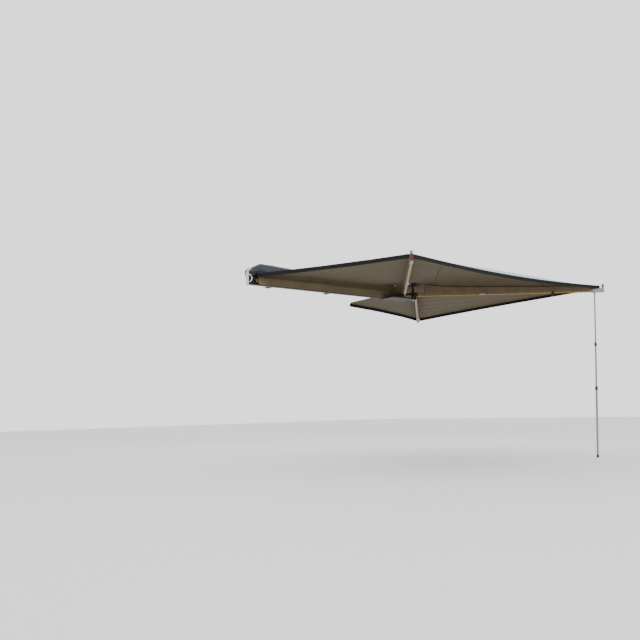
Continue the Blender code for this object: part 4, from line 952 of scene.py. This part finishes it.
def rail_wall():
    """Cloth between the canopy's first fold and the rail's tray, creased where it meets the rail."""
    first, last = WALL_ENDS
    length = last - first

    def place(u, v):
        x = -first - length * u
        fold = canopy_line("rail", -x / LINES["rail"]["reach"])
        lean = (WALL_PLACE - fold.y) * smoothstep(2 * v - 1)
        z = WALL_BOTTOM + (fold.z - 1.6 * CLOTH - WALL_BOTTOM) * v
        crease = WALL_CREASE_DEPTH * math.exp(-abs(z - WALL_CREASE) / 0.010)
        slack = noise.noise(Vector((x * 5.0, z * 9.0, 5.0))) * WALL_SLACK
        slack += WALL_WAVE * math.sin(46 * x) * math.sin(math.pi * v)
        free = max(math.sin(math.pi * v), 0.0) ** 0.5
        return PIN + Vector((x, WALL_PLACE - lean + (slack - crease) * free, z))

    def plan(u, v):
        spot = place(u, v)
        return (spot.x, spot.z)

    bm = cloth_grid(place, 180, 26, (0.0, -1.0, 0.0), plan)
    wall, area = cloth_piece("rail_wall_cloth", bm, "wall", CLOTH)
    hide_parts("rail_wall")
    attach(wall, "root")


def rail_fold_tape():
    """Strip of proofed cloth sewn over the fold where the canopy meets the rail wall."""

    def place(u, v):
        out = PATCH_OUT + (FOLD_TAPE_END - PATCH_OUT) * v
        fold = canopy_line("rail", out)
        side = (u - 0.5) * 2 * TAPE_HALF
        if side < 0:
            across = -side / (canopy_line(2, out) - fold).length
            return PIN + canopy_point("a", across, out) + Vector((0.0, 0.0, TAPE_LIFT))
        return PIN + fold + Vector((0.0, 0.0022, TAPE_LIFT - side))

    def plan(u, v):
        return (u * 2 * TAPE_HALF, v * LINES["rail"]["reach"])

    bm = cloth_grid(place, 8, 120, (0.0, 0.3, 1.0), plan)
    tape, _ = cloth_piece("rail_fold_tape", bm, "top", TAPE_CLOTH)
    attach(tape, "root")


def travel_cover():
    """Travel cover, thrown back over the rail in a loose roll with long creases."""
    length = COVER_END - COVER_START

    def place(u, v):
        x = COVER_START + length * u
        front = 1 - smoothstep((u - COVER_HIGH) / COVER_FALL)
        swell = 0.86 + 0.14 * math.sin(9.0 * u + 0.6) * math.cos(5.0 * u)
        taper = min(1.0, 0.50 + 6 * u, 0.5 + 5 * (1 - u))
        wound = 1 - COVER_DRAWN_IN * smoothstep((v - 0.30) / 0.7)
        angle = 2 * math.pi * COVER_TURNS * v + math.radians(COVER_RIM)
        fold = 1 + 0.07 * math.sin(3 * angle + 11 * u) + 0.05 * math.sin(5 * angle - 17 * u)
        broad = noise.noise(Vector((x * 3.5, 2.2 * math.cos(angle), 2.2 * math.sin(angle) + v)))
        fine = noise.noise(Vector((x * 11.0, 3.0 * math.cos(angle), 3.0 * math.sin(angle))))
        crush = broad * COVER_CRUSH + abs(fine) * COVER_CRUSH
        reach = wound * (fold - crush)
        half_width = (COVER_HALF_WIDTH + COVER_FRONT_WIDTH * front) * taper
        half_height = (COVER_HALF_HEIGHT * swell + COVER_FRONT_HEIGHT * front) * taper
        y = COVER_PLACE + 0.002 * front + 0.004 * math.sin(7 * u) + half_width * reach * math.cos(angle)
        z = COVER_REST + half_height * (1 + reach * math.sin(angle))
        return PIN + Vector((x, y, max(z, COVER_REST + 0.0008 + 0.004 * v)))

    def plan(u, v):
        return (length * u, COVER_CUT * v)

    bm = cloth_grid(place, 260, 110, (0.0, 0.0, 1.0), plan)
    cover, area = cloth_piece("travel_cover_cloth", bm, "cover", COVER_CLOTH)
    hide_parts("travel_cover")
    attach(cover, "root")


# Small sewn and fixed parts


def tension_strap():
    """Ring of orange webbing on the second tip, lapped and sewn down, and its folded tail beyond it."""
    node = frame["nodes"]["tension_strap"]
    to_row = arm_matrix(2)
    to_arm = to_row.inverted()
    points = [to_arm @ vert.co for vert in node.data.vertices]
    lows = [min(p[k] for p in points) for k in range(3)]
    highs = [max(p[k] for p in points) for k in range(3)]
    middle = [(a + b) / 2 for a, b in zip(lows, highs)]
    width = highs[0] - lows[0]
    half_y = (highs[1] - lows[1] - STRAP_CLOTH) / 2
    half_z = (highs[2] - lows[2] - STRAP_CLOTH) / 2

    def ring_place(u, v):
        angle = math.radians(STRAP_RING_START - STRAP_RING_TURN * u)
        inset = STRAP_LAP * smoothstep((u - 0.90) / 0.08)
        x = lows[0] + width * v + 0.0006 * math.sin(5 * angle)
        y = middle[1] + (half_y - inset) * math.cos(angle)
        z = middle[2] + (half_z - inset) * math.sin(angle)
        return to_row @ Vector((x, y, z))

    def tail_place(u, v):
        angle = math.radians(STRAP_TAIL_START + STRAP_TAIL_TURN * u)
        x = highs[0] + STRAP_TAIL_PLACE + (0.0042 - 0.0010 * u) * math.cos(angle)
        y = middle[1] + STRAP_TAIL_WIDTH * (v - 0.5) + 0.004 * math.sin(2 * angle)
        z = middle[2] + STRAP_TAIL_HALF * math.sin(angle)
        return to_row @ Vector((x, y, z))

    lengths = (("webbing", ring_place, (STRAP_RING_CUT, width)),
               ("tail", tail_place, (STRAP_TAIL_CUT, STRAP_TAIL_WIDTH)))
    for name, place, cut in lengths:
        def plan(u, v, cut=cut):
            return (u * cut[0], v * cut[1])

        bm = cloth_grid(place, 80, 6, (0.0, 0.0, 1.0), plan)
        strap, _ = cloth_piece("tension_strap_" + name, bm, "strap", STRAP_CLOTH)
        if name == "webbing":
            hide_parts("tension_strap")
        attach(strap, "arm_2")


def corner_patch(number):
    """Sewn patch with a pressed eyelet at the canopy's corner, under the tip's knob."""
    arm = ARMS[number]
    outline = [(ARM_REACH - PATCH_LENGTH, -PATCH_HALF), (ARM_REACH, -PATCH_HALF)]
    outline += arc((ARM_REACH, 0.0), PATCH_HALF, -90, 90, 16)[1:]
    outline.append((ARM_REACH - PATCH_LENGTH, PATCH_HALF))
    base = arm["canopy"] - CLOTH
    plate = extrude([(x, y - arm["offset"], base) for x, y in outline], (0, 0, 2 * CLOTH), 0.0005)
    bmesh.ops.transform(plate, matrix=arm_matrix(number), verts=plate.verts)
    patch = new_object("corner_patch_cloth_%d" % number, plate, [FINISHES["patch_solid"]])
    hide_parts("corner_patch_%d" % number)
    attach(patch, "arm_%d" % number)

    ring = turned([(0.0052, 0.0), (0.0060, 0.0009), (0.0084, 0.0010), (0.0096, 0.0003), (0.0096, 0.0)])
    top = Matrix.Translation((ARM_REACH, -arm["offset"], arm["canopy"] + CLOTH))
    bmesh.ops.transform(ring, matrix=arm_matrix(number) @ top, verts=ring.verts)
    eyelet = new_object("corner_eyelet_%d" % number, ring, [FINISHES["steel"]])
    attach(eyelet, "arm_%d" % number)


def round_heads(name, places, radius, finish, body):
    """Low domed heads of rivets or screws as one piece, the base of each at its place, facing Z."""
    dome = ((1.0, 0.0), (0.96, 0.45), (0.75, 0.85), (0.35, 1.0))
    profile = [(0.0, 0.0)] + [(radius * out, HEAD_HEIGHT * up) for out, up in dome] + [(0.0, HEAD_HEIGHT)]
    bm = bmesh.new()
    for place in places:
        head = turned(profile, 20)
        bmesh.ops.transform(head, matrix=place, verts=head.verts)
        mesh = bpy.data.meshes.new(name)
        head.to_mesh(mesh)
        head.free()
        bm.from_mesh(mesh)
        bpy.data.meshes.remove(mesh)
    heads = new_object(name, bm, [FINISHES[finish]])
    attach(heads, body)


def clip_rivets():
    """Two black rivets beside the pole clip, through the third arm's sleeve."""
    side = -ARMS[3]["offset"] - SLEEVE_HALF - 0.0010
    turn = Matrix.Rotation(math.radians(90), 4, "X")
    places = [arm_matrix(3) @ Matrix.Translation((x, side, RIVET_HEIGHT)) @ turn for x in RIVET_PLACES]
    round_heads("clip_rivets", places, RIVET_RADIUS, "plastic", "arm_3")


def end_plate_screws():
    """Two plated screws through the end plate into the rail's end."""
    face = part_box("end_plate")[0].x
    turn = Matrix.Rotation(math.radians(-90), 4, "Y")
    places = [Matrix.Translation((face, PIN.y + SCREW_PLACE, z)) @ turn for z in SCREW_HEIGHTS]
    round_heads("end_plate_screws", places, SCREW_RADIUS, "steel", "root")


def rail_arm_plug():
    """Moulded plug that closes the rail arm's front end."""
    low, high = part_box("rail_arm")
    inset = PLUG_EDGE + PLUG_CORNER
    near, far, under, over = low.y + inset, high.y - inset, low.z + inset, high.z - inset
    outline = []
    for start, centre in ((0, (far, over)), (90, (near, over)), (180, (near, under)), (270, (far, under))):
        outline += arc(centre, PLUG_CORNER, start, start + 90, 6)
    plate = extrude([(low.x - PLUG_GAP, y, z) for y, z in outline], (-PLUG_DEPTH, 0.0, 0.0), PLUG_BEVEL)
    plug = new_object("rail_arm_plug", plate, [FINISHES["plastic"]])
    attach(plug, "root")


def hub_cap():
    """Round cap of the same cloth as the reinforcement, sewn over the hole at the canopy's peak."""
    base = CANOPY_PEAK + CAP_LIFT
    bm = turned([(0.0, base), (0.021, base), (0.0235, base + 0.0009), (0.021, base + 0.0018),
                 (0.010, base + 0.0026), (0.0, base + 0.0028)])
    bmesh.ops.translate(bm, verts=bm.verts, vec=PIN)
    cap = new_object("hub_cap", bm, [FINISHES["patch_solid"]])
    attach(cap, "root")


def release_tab():
    """Red webbing tab sewn beside the crown."""
    side = Vector((-TAB_OUT.y, TAB_OUT.x, 0.0))

    def place(u, v):
        spot = PIN + TAB_OUT * (TAB_START + TAB_LENGTH * u) + side * 0.003 * math.sin(u * 3)
        spot.z = TAB_BOTTOM + TAB_HEIGHT * v - 0.004 * u
        return spot

    def plan(u, v):
        return (TAB_LENGTH * u, TAB_HEIGHT * v)

    bm = cloth_grid(place, 10, 8, -side, plan)
    tab, _ = cloth_piece("release_tab", bm, "red", STRAP_CLOTH)
    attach(tab, "root")


FINISHES = make_finishes()
place_camera()
light_studio()
lay_floor()
finish_nodes()
make_canopy()
for number in ARMS:
    seam_tape(number)
    arm_sleeve(number)
    corner_patch(number)
felled_seam()
rail_wall()
rail_fold_tape()
travel_cover()
tension_strap()
clip_rivets()
end_plate_screws()
rail_arm_plug()
hub_cap()
release_tab()
